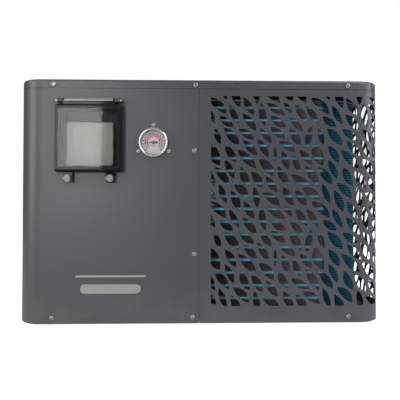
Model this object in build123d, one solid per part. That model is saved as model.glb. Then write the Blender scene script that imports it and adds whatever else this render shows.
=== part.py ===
"""Swimming-pool heat pump unit: sheet-metal cabinet, evaporator, fan, refrigerant circuit and controls.

Frame: +Z up, the front faces -Y, +X is to the right of somebody facing the front.
The origin is the bottom centre of the whole unit's box.  All lengths are millimetres.
Each physical piece is written as its own STEP file in parts/.
"""
from build123d import *
import os
from math import cos, hypot, pi, radians, sin

# ---------------------------------------------------------------- cabinet
WIDTH = 760.0
DEPTH = 360.0
HEIGHT = 505.0
CORNER_R = 50.0
SHEET = 1.2
LID_PROUD = 30.0
UNION_PROUD = 50.0
FRONT = LID_PROUD - (DEPTH + LID_PROUD + UNION_PROUD) / 2
BACK = FRONT + DEPTH
MID_Y = (FRONT + BACK) / 2
HALF_W = WIDTH / 2
RIM_H = 18.0
PANEL_Z0 = 3.0
PANEL_Z1 = HEIGHT - RIM_H - 1.0
LIP_TOP = HEIGHT - 6.0
LIP_INSET = SHEET + 0.3
SEAM_X = -5.0
SEAM_GAP = 0.8
SEAM_FLANGE = 18.0
SIDE_SEAM_Y = BACK - CORNER_R - 12.0
PAN_TOP = 21.5
PAN_INSET = LIP_INSET + SHEET + 0.3
SPOUT_R = 8.5
SPOUT_NECK_Z = 19.0
RAIL_X = 250.0
RAIL_LENGTH = 300.0
MOUNT_SPACING_Y = 240.0
MOUNT_HOLE_R = 4.5
SCREW_HEAD_R = 4.75
SCREW_R = 2.4
SCREW_HOLE_R = 2.6
DIVIDER_X = 10.0

# ---------------------------------------------------------------- leaf grille
GRILLE_X0 = 19.6
GRILLE_TOP = 472.0
GRILLE_HEIGHT = 434.5
GRILLE_FLAT = HALF_W - CORNER_R - GRILLE_X0
GRILLE_ARC = CORNER_R * pi / 2
GRILLE_SIDE = 190.0
GRILLE_LENGTH = GRILLE_FLAT + GRILLE_ARC + GRILLE_SIDE
TILE = 215.6
DRAWN_TILE = 218.0
LEAF_SCALE = TILE / DRAWN_TILE
SMALLEST_HOLE_AREA = 30.0
# One tile of the pattern, drawn DRAWN_TILE wide.  Each leaf is its two tips (u, v from the tile's
# top left) and the bulge of its right and left edges.
LEAVES = [
    (-7, 4, 32, 38, 13, 5.5), (17, 184, 33, 226, 6.5, 7), (41.5, 198, 60.5, 243, 10.5, 7),
    (69, 3, 91.5, 39, 7, 9), (90.5, 190, 97, 235, 9, 5.5), (106, 14, 114.5, 64, 6.5, 10),
    (201, 20, 226.5, 58, 9, 6), (18, 42.5, 47.5, 64, 7, 8.5), (38.5, 18.5, 59.5, 58.5, 6, 7.5),
    (66, 37, 95.5, 73, 9.5, 7), (58.5, 69, 91, 92, 8.5, 7), (102.5, 68.5, 127.5, 99, 8, 6),
    (9, 68, 20, 102, 6, 7), (27.5, 67.5, 59, 104, 11, 8), (68, 93.5, 97.5, 125, 8.5, 7.5),
    (98, 89.5, 121.5, 129, 8, 7), (107.5, 204, 145.5, 232, 12, 5), (151.5, 190.5, 173.5, 230.5, 8, 9),
    (178.5, 198, 201, 231, 9, 8), (118, 14, 157.5, 39.5, 7, 9.5), (153.5, 12.5, 171, 36, 6, 5),
    (178, 18, 202, 55, 8.5, 7), (126, 41.5, 158.5, 64, 6, 10), (165.5, 45.5, 193.5, 75, 9, 5),
    (126, 65.5, 156.5, 89, 8, 8.5), (165.5, 67.5, 188, 106, 11, 7), (211.5, 62, 201, 110, 7.5, 7.5),
    (142, 96, 177.5, 118.5, 11.5, 5), (135, 103.5, 135, 139, 4, 4), (149.5, 115.5, 162, 154.5, 9, 7),
    (173, 124.5, 188, 160, 7, 8), (187, 113, 213.5, 143.5, 8, 7.5), (1, 99.5, 18.5, 146, 8.5, 14.5),
    (197.5, 146.5, 227, 190, 11, 6), (168, 163.5, 208.5, 185.5, 6, 10), (142.5, 147.5, 165, 184.5, 5, 12),
    (116, 168.5, 140.5, 202, 7, 8.5), (100.5, 132, 131.5, 168.5, 13, 6.5), (85.5, 157.5, 108, 193, 10, 7.5),
    (63.5, 148.5, 82, 188.5, 5.5, 11.5), (56.5, 112.5, 95.5, 152, 9.5, 9), (29.5, 104, 52, 140.5, 10, 6.5),
    (29.5, 134.5, 48, 174, 8.5, 6), (8.5, 149.5, 38, 186, 10, 7), (47, 183, 79.5, 215, 11.5, 6),
    (192.5, 193.5, 229.5, 217.5, 12, 6),
]

# ---------------------------------------------------------------- evaporator
COIL_FRONT = FRONT + 30.0
COIL_DEPTH = 44.0
COIL_RIGHT = HALF_W - 25.0
COIL_OUTER_R = 92.0
COIL_Z0 = 30.0
COIL_HEIGHT = 437.0
COIL_X0 = DIVIDER_X + 2.0
COIL_END_Y = 60.0
TUBE_R = 4.76
TUBE_PITCH = 27.2
TUBE_COUNT = 16
TUBE_ROW_1 = 11.0
TUBE_ROW_2 = 33.0
TUBE_Z0 = 45.0
BEND_X = COIL_RIGHT - COIL_OUTER_R
BEND_Y = COIL_FRONT + COIL_OUTER_R

# ---------------------------------------------------------------- fan
FAN_X = 174.0
FAN_Z = 252.0
FAN_R = 142.0
ORIFICE_R = 148.0
HUB_R = 38.0
FAN_Y0 = 100.0
HUB_DEPTH = 46.0
MOTOR_R = 52.0
MOTOR_Y0 = -16.0
MOTOR_LENGTH = 98.0
SHAFT_R = 6.0
GUARD_Y = BACK + 7.0
GUARD_WIRE_R = 1.6
GUARD_TAB = 1.5

# ---------------------------------------------------------------- refrigerant circuit
COMPRESSOR = (-95.0, 45.0)
COMPRESSOR_R = 57.0
COMPRESSOR_Z0 = 44.0
COMPRESSOR_H = 262.0
ACCUMULATOR = (-182.0, 45.0)
ACCUMULATOR_R = 24.0
EXCHANGER = (-290.0, 48.0)
EXCHANGER_R = 60.0
EXCHANGER_Z0 = 46.0
EXCHANGER_H = 392.0
PIPE_R = 5.0
SUCTION_R = 8.0

# ---------------------------------------------------------------- water connections
WATER_Z = (112.0, 372.0)
WATER_PIPE_R = 29.0
SOCKET_R = 25.15
SOCKET_LENGTH = 30.0
UNION_NUT_R = 41.0

# ---------------------------------------------------------------- control window box
BOX_X = -229.0
BOX_HALF_W = 69.0
BOX_Z0 = 312.0
BOX_Z1 = 455.0
LID_WALL = 2.5
HINGE_Z = 459.0
HINGE_Y = FRONT - 13.0
HINGE_R = 5.0
HINGE_PIN_R = 1.5
LATCH_Z = 301.0
LATCH_X = (BOX_X - 43.0, BOX_X + 43.0)
LATCH_STUD_R = 3.0
FRAME_PROUD = 4.0

# ---------------------------------------------------------------- badge
BADGE_X = -186.0
BADGE_Z = 74.0
BADGE_LENGTH = 124.0
BADGE_HEIGHT = 20.0
BADGE_THICK = 1.6

# ---------------------------------------------------------------- pressure gauge
GAUGE_X = -99.0
GAUGE_Z = 375.0
GAUGE_R = 30.0
GAUGE_PROUD = 9.0
GAUGE_DIAL_R = 25.0
GAUGE_SCREW_PCD = 72.0


def save(name, shape):
    """Write one piece to its STEP file."""
    export_step(shape, f"parts/{name}.step")


def block(x0, x1, y0, y1, z0, z1):
    """Box between two corners."""
    return Pos((x0 + x1) / 2, (y0 + y1) / 2, (z0 + z1) / 2) * Box(x1 - x0, y1 - y0, z1 - z0)


def rod(start, end, radius):
    """Round bar between two points."""
    axis = Vector(*end) - Vector(*start)
    plane = Plane(origin=start, z_dir=axis)
    return plane * extrude(Circle(radius), axis.length)


def bent_tube(points, bend_radius, radius):
    """Round tube along straight runs with one bend radius."""
    path = FilletPolyline(*points, radius=bend_radius)
    section = Plane(origin=path @ 0, z_dir=path % 0) * Circle(radius)
    return sweep(section, path=path)


def outline(inset):
    """Plan view of the cabinet, inset from its outer skin."""
    return RectangleRounded(WIDTH - 2 * inset, DEPTH - 2 * inset, CORNER_R - inset)


def skin(z0, z1, inset=0.0):
    """Closed sheet-metal ring of the cabinet's plan."""
    ring = outline(inset) - outline(inset + SHEET)
    return Pos(0, MID_Y, z0) * extrude(ring, z1 - z0)


def panel(x0, x1, y0, y1):
    """Part of the cabinet's skin within a plan rectangle, its joggled lip tucked under the top cover."""
    wall = skin(PANEL_Z0, PANEL_Z1) & block(x0, x1, y0, y1, 0, HEIGHT)
    lip = skin(PANEL_Z1 - 8, LIP_TOP, LIP_INSET - 0.3) & block(x0, x1, y0, y1, 0, HEIGHT)
    return wall + lip


# Casing screws: where the head sits and which way it faces.
FRONT_DIR = (0, -1, 0)
BACK_DIR = (0, 1, 0)
RIM_SCREW_Z = HEIGHT - 10.5
LOW_SCREW_Z = 15.5
RIM_SCREW_X = (-304.0, -12.0, 306.0)
LOW_SCREW_X = (-305.0, -18.0, 305.0)
SEAM_SCREW_X = SEAM_X - 10.0
SEAM_SCREW_Z = (358.5, 145.0)
SIDE_SCREW_Y = (-100.0, 70.0)
GUARD_SCREW_R = ORIFICE_R + 12.0
GUARD_SCREW_ANGLES = (45, 135, 225, 315)


def casing_screw_places():
    """Every casing screw as (point on the skin, outward direction)."""
    places = []
    for x in RIM_SCREW_X:
        places.append(((x, FRONT, RIM_SCREW_Z), FRONT_DIR))
        places.append(((-x, BACK, RIM_SCREW_Z), BACK_DIR))
    for x in LOW_SCREW_X:
        places.append(((x, FRONT, LOW_SCREW_Z), FRONT_DIR))
        places.append(((-x, BACK, LOW_SCREW_Z), BACK_DIR))
    for z in SEAM_SCREW_Z:
        places.append(((SEAM_SCREW_X, FRONT, z), FRONT_DIR))
        places.append(((SEAM_SCREW_X, BACK, z), BACK_DIR))
    for y in SIDE_SCREW_Y:
        for z in (RIM_SCREW_Z, LOW_SCREW_Z):
            places.append(((-HALF_W, y, z), (-1, 0, 0)))
            places.append(((HALF_W, y, z), (1, 0, 0)))
    for angle in GUARD_SCREW_ANGLES:
        x = FAN_X + GUARD_SCREW_R * cos(radians(angle))
        z = FAN_Z + GUARD_SCREW_R * sin(radians(angle))
        places.append(((x, BACK + GUARD_TAB, z), BACK_DIR))
    return places


def screw_holes():
    """Clearance holes for every casing screw."""
    hole = Cylinder(SCREW_HOLE_R, 16)
    return [Plane(origin=point, z_dir=out) * hole for point, out in casing_screw_places()]


def casing_screws():
    """Button-head screws with a hexagon socket."""
    head = Cylinder(SCREW_HEAD_R, 2.4, align=(Align.CENTER, Align.CENTER, Align.MIN))
    head = fillet(head.edges().filter_by(GeomType.CIRCLE).sort_by(Axis.Z)[-1], 1.9)
    head -= Pos(0, 0, 1.0) * extrude(RegularPolygon(1.9, 6), 2)
    shank = Pos(0, 0, -9) * extrude(Circle(SCREW_R), 9)
    one = head + shank
    return Compound([Plane(origin=point, z_dir=out) * one for point, out in casing_screw_places()])


def base_pan(holes):
    """Pressed base with a skirt that the panels screw to and a raised curb that keeps condensate in."""
    plate = Pos(0, MID_Y, PAN_TOP - 1.5) * extrude(outline(PAN_INSET), 1.5)
    skirt = skin(5, PAN_TOP, PAN_INSET)
    curb = skin(PAN_TOP - 0.5, PAN_TOP + 4, PAN_INSET + 8)
    drain = Pos(FAN_X, MID_Y, PAN_TOP - 1) * Cylinder(SPOUT_R + 0.5, 6)
    return plate + skirt + curb - drain - holes


def base_rails():
    """Two shallow channels under the pan, each with two mounting holes in its floor."""
    rails = []
    for side in (-1, 1):
        x = side * RAIL_X
        y0 = MID_Y - RAIL_LENGTH / 2
        y1 = MID_Y + RAIL_LENGTH / 2
        channel = block(x - 30, x + 30, y0, y1, 0, PAN_TOP - 1.5)
        channel -= block(x - 28, x + 28, y0 - 1, y1 + 1, 2, PAN_TOP)
        for dy in (-MOUNT_SPACING_Y / 2, MOUNT_SPACING_Y / 2):
            channel -= Pos(x, MID_Y + dy, 1) * Cylinder(MOUNT_HOLE_R, 6)
        rails.append(channel)
    return Compound(rails)


def drain_spout():
    """Condensate spout under the pan: a hose pin, a wider neck in the pan's hole and a flange on its floor."""
    spout = Pos(FAN_X, MID_Y, 3) * extrude(Circle(SPOUT_R), PAN_TOP - 3)
    spout += Pos(FAN_X, MID_Y, SPOUT_NECK_Z) * extrude(Circle(SPOUT_R + 0.4), PAN_TOP - SPOUT_NECK_Z)
    flange = Pos(FAN_X, MID_Y, PAN_TOP) * extrude(Circle(15), 2)
    bore = Pos(FAN_X, MID_Y, 2) * extrude(Circle(6), 30)
    return spout + flange - bore


def top_cover(holes):
    """Shallow pressed lid with a rounded upper edge; its rim is flush with the panels."""
    outer = extrude(outline(0), RIM_H)
    outer = fillet(outer.edges().group_by(Axis.Z)[-1], 4)
    inner = extrude(outline(SHEET), RIM_H - SHEET)
    inner = fillet(inner.edges().group_by(Axis.Z)[-1], 2.8)
    return Pos(0, MID_Y, HEIGHT - RIM_H) * (outer - inner) - holes


def control_panel(holes):
    """Front-left panel, wrapping round the left side, with the openings for the window box and gauge."""
    sheet = panel(-HALF_W - 1, SEAM_X - SEAM_GAP / 2, FRONT - 1, SIDE_SEAM_Y - SEAM_GAP / 2)
    sheet -= block(BOX_X - 61, BOX_X + 61, FRONT - 5, FRONT + 5, BOX_Z0 + 8, BOX_Z1 - 8)
    for x in LATCH_X:
        sheet -= rod((x, FRONT - 5, LATCH_Z), (x, FRONT + 5, LATCH_Z), LATCH_STUD_R + 1.2)
    sheet -= rod((GAUGE_X, FRONT - 5, GAUGE_Z), (GAUGE_X, FRONT + 5, GAUGE_Z), GAUGE_R - 2)
    for x, z in gauge_screw_places():
        sheet -= rod((x, FRONT - 5, z), (x, FRONT + 5, z), 2.2)
    return sheet - holes


def surface_frame(u):
    """Point, tangent and outward normal of the skin at arc length u from the grille's left edge."""
    if u <= GRILLE_FLAT:
        return (GRILLE_X0 + u, FRONT), (1, 0), (0, -1)
    angle = (u - GRILLE_FLAT) / CORNER_R
    if angle < pi / 2:
        out = (sin(angle), -cos(angle))
        centre = (HALF_W - CORNER_R, FRONT + CORNER_R)
        point = (centre[0] + CORNER_R * out[0], centre[1] + CORNER_R * out[1])
        return point, (cos(angle), sin(angle)), out
    return (HALF_W, FRONT + CORNER_R + u - GRILLE_FLAT - GRILLE_ARC), (0, 1), (1, 0)


def leaf_prism(leaf, du, dv):
    """Cutter for one leaf-shaped hole, square to the skin at the leaf's middle; None outside the field."""
    u1, v1, u2, v2, right_bulge, left_bulge = [LEAF_SCALE * size for size in leaf]
    u1, u2, v1, v2 = u1 + du, u2 + du, v1 + dv, v2 + dv
    margin = max(right_bulge, left_bulge)
    if max(u1, u2) + margin < 0 or min(u1, u2) - margin > GRILLE_LENGTH:
        return None
    if v2 + margin < 0 or v1 - margin > GRILLE_HEIGHT:
        return None
    middle = (u1 + u2) / 2
    length = hypot(u2 - u1, v2 - v1)
    origin, tangent, out = surface_frame(middle)

    def local(u, v):
        point = surface_frame(u)[0]
        along = (point[0] - origin[0]) * tangent[0] + (point[1] - origin[1]) * tangent[1]
        return (along, GRILLE_TOP - v)

    def bulge_point(size):
        return local(middle + size * (v2 - v1) / length, (v1 + v2) / 2 - size * (u2 - u1) / length)

    tip1 = local(u1, v1)
    tip2 = local(u2, v2)
    right = ThreePointArc(tip1, bulge_point(right_bulge), tip2)
    left = ThreePointArc(tip2, bulge_point(-left_bulge), tip1)
    leaf_face = make_face([right, left])
    t0 = max(local(0, 0)[0], -80) if middle < 60 else -80
    t1 = min(local(GRILLE_LENGTH, 0)[0], 80) if middle > GRILLE_LENGTH - 60 else 80
    if t1 <= t0:
        return None
    window = Pos((t0 + t1) / 2, GRILLE_TOP - GRILLE_HEIGHT / 2) * Rectangle(t1 - t0, GRILLE_HEIGHT)
    clipped = leaf_face & window
    if clipped is None or clipped.area < SMALLEST_HOLE_AREA:
        return None
    plane = Plane(origin=(origin[0], origin[1], 0), x_dir=(*tangent, 0), z_dir=(*out, 0))
    return plane * (Pos(0, 0, -14) * extrude(clipped, 16))


def leaf_cutters():
    """Cutters for the whole leaf field over the front, the corner and the side."""
    cutters = []
    for column in range(-1, 3):
        for row in range(-1, 3):
            for leaf in LEAVES:
                cutter = leaf_prism(leaf, column * TILE, row * TILE)
                if cutter is not None:
                    cutters.append(cutter)
    return cutters


def grille_panel(holes):
    """Front-right panel, wrapping round the right side, pierced with the leaf pattern."""
    sheet = panel(SEAM_X + SEAM_GAP / 2, HALF_W + 1, FRONT - 1, SIDE_SEAM_Y - SEAM_GAP / 2)
    flange_z = (PANEL_Z0 + 22, PANEL_Z1 - 12)
    step = block(SEAM_X - SEAM_FLANGE, SEAM_X + 14, FRONT + SHEET, FRONT + 2 * SHEET, *flange_z)
    return sheet + step - holes - leaf_cutters()


def rear_service_panel(holes):
    """Rear-left panel with the water connections and cable glands."""
    sheet = panel(-HALF_W - 1, SEAM_X - SEAM_GAP / 2, SIDE_SEAM_Y + SEAM_GAP / 2, BACK + 1)
    for z in WATER_Z:
        sheet -= rod((EXCHANGER[0], BACK - 5, z), (EXCHANGER[0], BACK + 5, z), WATER_PIPE_R + 1)
    for x, z in GLAND_PLACES:
        sheet -= rod((x, BACK - 5, z), (x, BACK + 5, z), 10.2)
    return sheet - holes


def rear_fan_panel(holes):
    """Rear-right panel with the round fan outlet."""
    sheet = panel(SEAM_X + SEAM_GAP / 2, HALF_W + 1, SIDE_SEAM_Y + SEAM_GAP / 2, BACK + 1)
    flange_z = (PANEL_Z0 + 22, PANEL_Z1 - 12)
    flange = block(SEAM_X - SEAM_FLANGE, SEAM_X + 9, BACK - 2 * SHEET, BACK - SHEET, *flange_z)
    opening = rod((FAN_X, BACK - 10, FAN_Z), (FAN_X, BACK + 10, FAN_Z), ORIFICE_R)
    return sheet + flange - opening - holes


def divider_panel():
    """Bulkhead between the fan chamber and the compressor chamber, behind the coil's end plate."""
    y0 = COIL_FRONT + COIL_DEPTH + 8
    y1 = BACK - PAN_INSET - 11
    sheet = block(DIVIDER_X, DIVIDER_X + SHEET, y0, y1, PAN_TOP, LIP_TOP - 8)
    foot = block(DIVIDER_X - 14, DIVIDER_X, y0, y1, PAN_TOP, PAN_TOP + SHEET)
    return sheet + foot


# ---------------------------------------------------------------- evaporator pieces
def coil_plan(front_inset, depth):
    """Plan of an L-shaped strip of the coil: front leg, rounded bend and right leg."""
    y0 = COIL_FRONT + front_inset
    x1 = COIL_RIGHT - front_inset
    outer_r = COIL_OUTER_R - front_inset
    inner_r = outer_r - depth
    front_leg = Pos((COIL_X0 + BEND_X) / 2, y0 + depth / 2) * Rectangle(BEND_X - COIL_X0, depth)
    side_leg = Pos(x1 - depth / 2, (BEND_Y + COIL_END_Y) / 2) * Rectangle(depth, COIL_END_Y - BEND_Y)
    bend = Pos(BEND_X, BEND_Y) * (Circle(outer_r) - Circle(inner_r))
    bend &= Pos(BEND_X + outer_r / 2, BEND_Y - outer_r / 2) * Rectangle(outer_r, outer_r)
    return front_leg + side_leg + bend


def evaporator_fins():
    """Fin pack of the evaporator as one plain block."""
    return Pos(0, 0, COIL_Z0) * extrude(coil_plan(0, COIL_DEPTH), COIL_HEIGHT)


def tube_run(inset, z):
    """One L-shaped tube through the fin pack, ending just past both end plates."""
    y = COIL_FRONT + inset
    x = COIL_RIGHT - inset
    points = [(DIVIDER_X - 4, y, z), (x, y, z), (x, COIL_END_Y + 5, z)]
    return bent_tube(points, COIL_OUTER_R - inset, TUBE_R)


def return_bend(x, y, z, out):
    """Half-round hairpin joining the tube at height z to the one above it."""
    plane = Plane(origin=(x, y, z + TUBE_PITCH / 2), x_dir=out, z_dir=Vector(*out).cross(Vector(0, 0, 1)))
    arc = plane * ThreePointArc((0, -TUBE_PITCH / 2), (TUBE_PITCH / 2, 0), (0, TUBE_PITCH / 2))
    section = Plane(origin=arc @ 0, z_dir=arc % 0) * Circle(TUBE_R)
    return sweep(section, path=arc)


def evaporator_tubes():
    """Two rows of tubes with hairpins at both ends, the second row half a pitch lower."""
    pieces = []
    for inset, drop in ((TUBE_ROW_1, 0.0), (TUBE_ROW_2, TUBE_PITCH / 2)):
        first = tube_run(inset, TUBE_Z0 - drop + (TUBE_PITCH if drop else 0))
        count = TUBE_COUNT - (1 if drop else 0)
        z0 = TUBE_Z0 - drop + (TUBE_PITCH if drop else 0)
        left_bend = return_bend(DIVIDER_X - 4, COIL_FRONT + inset, z0, (-1, 0, 0))
        rear_bend = return_bend(COIL_RIGHT - inset, COIL_END_Y + 5, z0, (0, 1, 0))
        for i in range(count):
            lift = Pos(0, 0, i * TUBE_PITCH)
            pieces.append(lift * first)
            if i % 2 == 1 and i + 1 < count:
                pieces.append(lift * left_bend)
            if i % 2 == 0 and i + 1 < count:
                pieces.append(lift * rear_bend)
    return Compound(pieces)


def evaporator_end_plates():
    """Galvanised end plates with clearance holes for the tubes."""
    z0 = PAN_TOP + 4.5
    z1 = LIP_TOP - 10
    y0 = COIL_FRONT - 4
    y1 = COIL_FRONT + COIL_DEPTH + 4
    left = block(DIVIDER_X, COIL_X0, y0, y1, z0, z1)
    x0 = COIL_RIGHT - COIL_DEPTH - 4
    rear = block(x0, COIL_RIGHT + 4, COIL_END_Y, COIL_END_Y + 1.5, z0, z1)
    for inset, drop in ((TUBE_ROW_1, 0.0), (TUBE_ROW_2, TUBE_PITCH / 2)):
        x = COIL_RIGHT - inset
        y = COIL_FRONT + inset
        for i in range(TUBE_COUNT):
            z = TUBE_Z0 - drop + i * TUBE_PITCH
            left -= rod((DIVIDER_X - 2, y, z), (COIL_X0 + 2, y, z), TUBE_R + 0.2)
            rear -= rod((x, COIL_END_Y - 2, z), (x, COIL_END_Y + 4, z), TUBE_R + 0.2)
    top = Pos(0, 0, COIL_Z0 + COIL_HEIGHT + 0.2) * extrude(coil_plan(-3, COIL_DEPTH + 6), SHEET)
    top -= block(DIVIDER_X, COIL_X0 + 0.1, y0, y1, z0, z1 + 10)
    top -= block(x0, COIL_RIGHT + 4, COIL_END_Y - 0.1, COIL_END_Y + 2, z0, z1 + 10)
    return Compound([left, rear, top])


HEADER_X = DIVIDER_X - 44.0
HEADER_Y = COIL_FRONT + 22.0
HEADER_R = 9.0


def coil_header():
    """Upright header in the compressor chamber that feeds the coil's circuits."""
    header = rod((HEADER_X, HEADER_Y, 60), (HEADER_X, HEADER_Y, 430), HEADER_R)
    for z in (90, 200, 310, 420):
        header += rod((HEADER_X - 14, HEADER_Y, z), (HEADER_X, HEADER_Y, z), 3.2)
    return header


# ---------------------------------------------------------------- fan pieces
FAN_PLANE = Plane(origin=(FAN_X, FAN_Y0, FAN_Z), x_dir=(1, 0, 0), z_dir=(0, 1, 0))
BLADE_COUNT = 3


def blade_section(radius, chord, pitch, sweep_angle, rise):
    """Cambered section of a fan blade, square to its radius."""
    half = chord / 2
    upper = ThreePointArc((-half, 0), (0, 7.0), (half, 0))
    lower = ThreePointArc((half, 0), (0, 4.4), (-half, 0))
    face = Rot(0, 0, pitch) * make_face([upper, lower])
    plane = Plane(origin=(radius, 0, rise), x_dir=(0, 1, 0), z_dir=(1, 0, 0))
    return Rot(0, 0, sweep_angle) * (plane * face)


def fan_blade():
    """Three-bladed propeller with a bored hub."""
    hub = extrude(Circle(HUB_R), HUB_DEPTH)
    hub = fillet(hub.edges().sort_by(Axis.Z)[-1], 7)
    sections = [
        blade_section(HUB_R - 6, 66, 38, 0, 24),
        blade_section(85, 104, 30, 8, 25),
        blade_section(FAN_R + 6, 136, 22, 18, 26),
    ]
    blade = loft(sections) & (Pos(0, 0, -20) * extrude(Circle(FAN_R), 100))
    wheel = hub
    for i in range(BLADE_COUNT):
        wheel += Rot(0, 0, i * 360 / BLADE_COUNT) * blade
    wheel -= Pos(0, 0, -1) * extrude(Circle(SHAFT_R), HUB_DEPTH + 2)
    return FAN_PLANE * wheel


def fan_hub_nut():
    """Flanged nut that holds the wheel on the motor shaft."""
    nut = extrude(RegularPolygon(9, 6), 7) + extrude(Circle(11), 2)
    nut -= extrude(Circle(SHAFT_R), 8)
    return FAN_PLANE * (Pos(0, 0, HUB_DEPTH + 0.2) * nut)


def fan_shaft():
    """Motor shaft, which turns with the wheel."""
    y0 = MOTOR_Y0 + MOTOR_LENGTH - 8
    return rod((FAN_X, y0, FAN_Z), (FAN_X, FAN_Y0 + HUB_DEPTH + 10, FAN_Z), SHAFT_R)


def fan_motor():
    """Finned motor can with a bored front boss."""
    y1 = MOTOR_Y0 + MOTOR_LENGTH
    can = rod((FAN_X, MOTOR_Y0, FAN_Z), (FAN_X, y1 - 6, FAN_Z), MOTOR_R)
    for y in range(12, 84, 8):
        can += rod((FAN_X, MOTOR_Y0 + y, FAN_Z), (FAN_X, MOTOR_Y0 + y + 3, FAN_Z), MOTOR_R + 3)
    can += rod((FAN_X, y1 - 6, FAN_Z), (FAN_X, y1, FAN_Z), 20)
    return can - rod((FAN_X, y1 - 9, FAN_Z), (FAN_X, y1 + 1, FAN_Z), SHAFT_R + 0.05)


def fan_motor_bracket():
    """Two upright posts with a cross plate behind the motor."""
    parts = []
    z1 = LIP_TOP - 8
    for side in (-1, 1):
        x = FAN_X + side * 44
        post = block(x - 11, x + 11, MOTOR_Y0 - 22, MOTOR_Y0 - 2, PAN_TOP, z1)
        post -= block(x - 9.5, x + 9.5, MOTOR_Y0 - 23, MOTOR_Y0 - 3.5, PAN_TOP + 1.5, z1 - 1.5)
        parts.append(post)
    plate = block(FAN_X - 55, FAN_X + 55, MOTOR_Y0 - 2, MOTOR_Y0, FAN_Z - 45, FAN_Z + 45)
    return parts[0] + parts[1] + plate


def fan_shroud():
    """Bell-mouth ring that guides the air into the outlet."""
    wall = Circle(ORIFICE_R + 2) - Circle(ORIFICE_R)
    ring = extrude(wall, 34)
    mouth = extrude(Circle(ORIFICE_R + 6) - Circle(ORIFICE_R), 2)
    plane = Plane(origin=(FAN_X, BACK - SHEET - 34.2, FAN_Z), x_dir=(1, 0, 0), z_dir=(0, 1, 0))
    return plane * (ring + mouth)


def fan_guard():
    """Welded wire guard: concentric rings on radial wires, with four fixing eyes."""
    plane = Plane(origin=(FAN_X, GUARD_Y, FAN_Z), x_dir=(1, 0, 0), z_dir=(0, 1, 0))
    rings = [Torus(radius, GUARD_WIRE_R) for radius in range(31, 152, 12)]
    guard = rings[0]
    for ring in rings[1:]:
        guard += ring
    for i in range(8):
        wire = Rot(0, 0, 22.5 + i * 45) * (Pos(91, 0, 1.2) * Rot(0, 90, 0) * Cylinder(GUARD_WIRE_R, 122))
        guard += wire
    guard += Pos(0, 0, -1.5) * extrude(Circle(33), 1.5)
    seat = BACK - GUARD_Y
    for angle in GUARD_SCREW_ANGLES:
        tab = Pos(GUARD_SCREW_R, 0, seat) * extrude(Circle(8) - Circle(SCREW_HOLE_R), GUARD_TAB)
        leg = Pos(ORIFICE_R + 4, 0, seat / 2) * Box(6, 8, -seat)
        guard += Rot(0, 0, -angle) * (tab + leg)
    return plane * guard


# ---------------------------------------------------------------- refrigerant pieces
def capped_can(x, y, z0, height, radius, dome):
    """Upright can with domed ends."""
    can = Pos(x, y, z0) * extrude(Circle(radius), height)
    rims = can.edges().filter_by(GeomType.CIRCLE)
    return fillet(rims, dome)


FOOT_ANGLES = (90, 210, 330)
FOOT_REACH = 68.0


def foot_places():
    """Compressor feet on their bolt circle."""
    places = []
    for angle in FOOT_ANGLES:
        x = COMPRESSOR[0] + FOOT_REACH * cos(radians(angle))
        y = COMPRESSOR[1] + FOOT_REACH * sin(radians(angle))
        places.append((x, y))
    return places


def compressor():
    """Rotary compressor can on a three-lobed foot plate, with a terminal stub on top."""
    body = capped_can(*COMPRESSOR, COMPRESSOR_Z0, COMPRESSOR_H, COMPRESSOR_R, 16)
    arm = Pos(FOOT_REACH / 2, 0, 0) * Box(FOOT_REACH, 26, 3)
    arm += Pos(FOOT_REACH, 0, 0) * Cylinder(13, 3)
    for angle in FOOT_ANGLES:
        body += Pos(*COMPRESSOR, COMPRESSOR_Z0 + 1.5) * Rot(0, 0, angle) * arm
    for x, y in foot_places():
        body -= Pos(x, y, COMPRESSOR_Z0) * Cylinder(7.2, 12)
    top = COMPRESSOR_Z0 + COMPRESSOR_H
    body += Pos(COMPRESSOR[0], COMPRESSOR[1] - 22, top - 4) * extrude(Circle(15), 16)
    body += Pos(*COMPRESSOR, top - 1) * extrude(Circle(8), 9)
    return body


def compressor_grommets():
    """Rubber mounts, waisted where the foot plate sits."""
    mounts = []
    for x, y in foot_places():
        lower = Pos(x, y, PAN_TOP) * extrude(Circle(12), COMPRESSOR_Z0 - PAN_TOP)
        waist = Pos(x, y, PAN_TOP) * extrude(Circle(7), COMPRESSOR_Z0 - PAN_TOP + 3.2)
        upper = Pos(x, y, COMPRESSOR_Z0 + 3.1) * extrude(Circle(10), 6)
        bore = Pos(x, y, PAN_TOP - 1) * extrude(Circle(4.3), 40)
        mounts.append(lower + waist + upper - bore)
    return Compound(mounts)


def compressor_bolts():
    """Studs with washers and nuts that hold the compressor down."""
    bolts = []
    for x, y in foot_places():
        stud = Pos(x, y, PAN_TOP) * extrude(Circle(4), 40)
        washer = Pos(x, y, COMPRESSOR_Z0 + 9.2) * extrude(Circle(9), 1.6)
        nut = Pos(x, y, COMPRESSOR_Z0 + 10.8) * extrude(RegularPolygon(7, 6), 6)
        bolts.append(stud + washer + nut)
    return Compound(bolts)


def accumulator():
    """Suction accumulator strapped beside the compressor."""
    can = capped_can(*ACCUMULATOR, 120, 190, ACCUMULATOR_R, 14)
    x0 = ACCUMULATOR[0] + 20
    x1 = COMPRESSOR[0] - COMPRESSOR_R - 0.2
    strap = block(x0, x1, ACCUMULATOR[1] - 8, ACCUMULATOR[1] + 8, 200, 216)
    return can + strap


VALVE_Y = 66.0
VALVE_Z = 404.0


def four_way_valve():
    """Reversing valve body with one port above and three below."""
    body = rod((-150, VALVE_Y, VALVE_Z), (-50, VALVE_Y, VALVE_Z), 15)
    body += rod((-100, VALVE_Y, VALVE_Z), (-100, VALVE_Y, VALVE_Z + 26), PIPE_R + 1.5)
    for x in (-128, -100, -72):
        body += rod((x, VALVE_Y, VALVE_Z), (x, VALVE_Y, VALVE_Z - 28), SUCTION_R)
    return body


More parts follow.
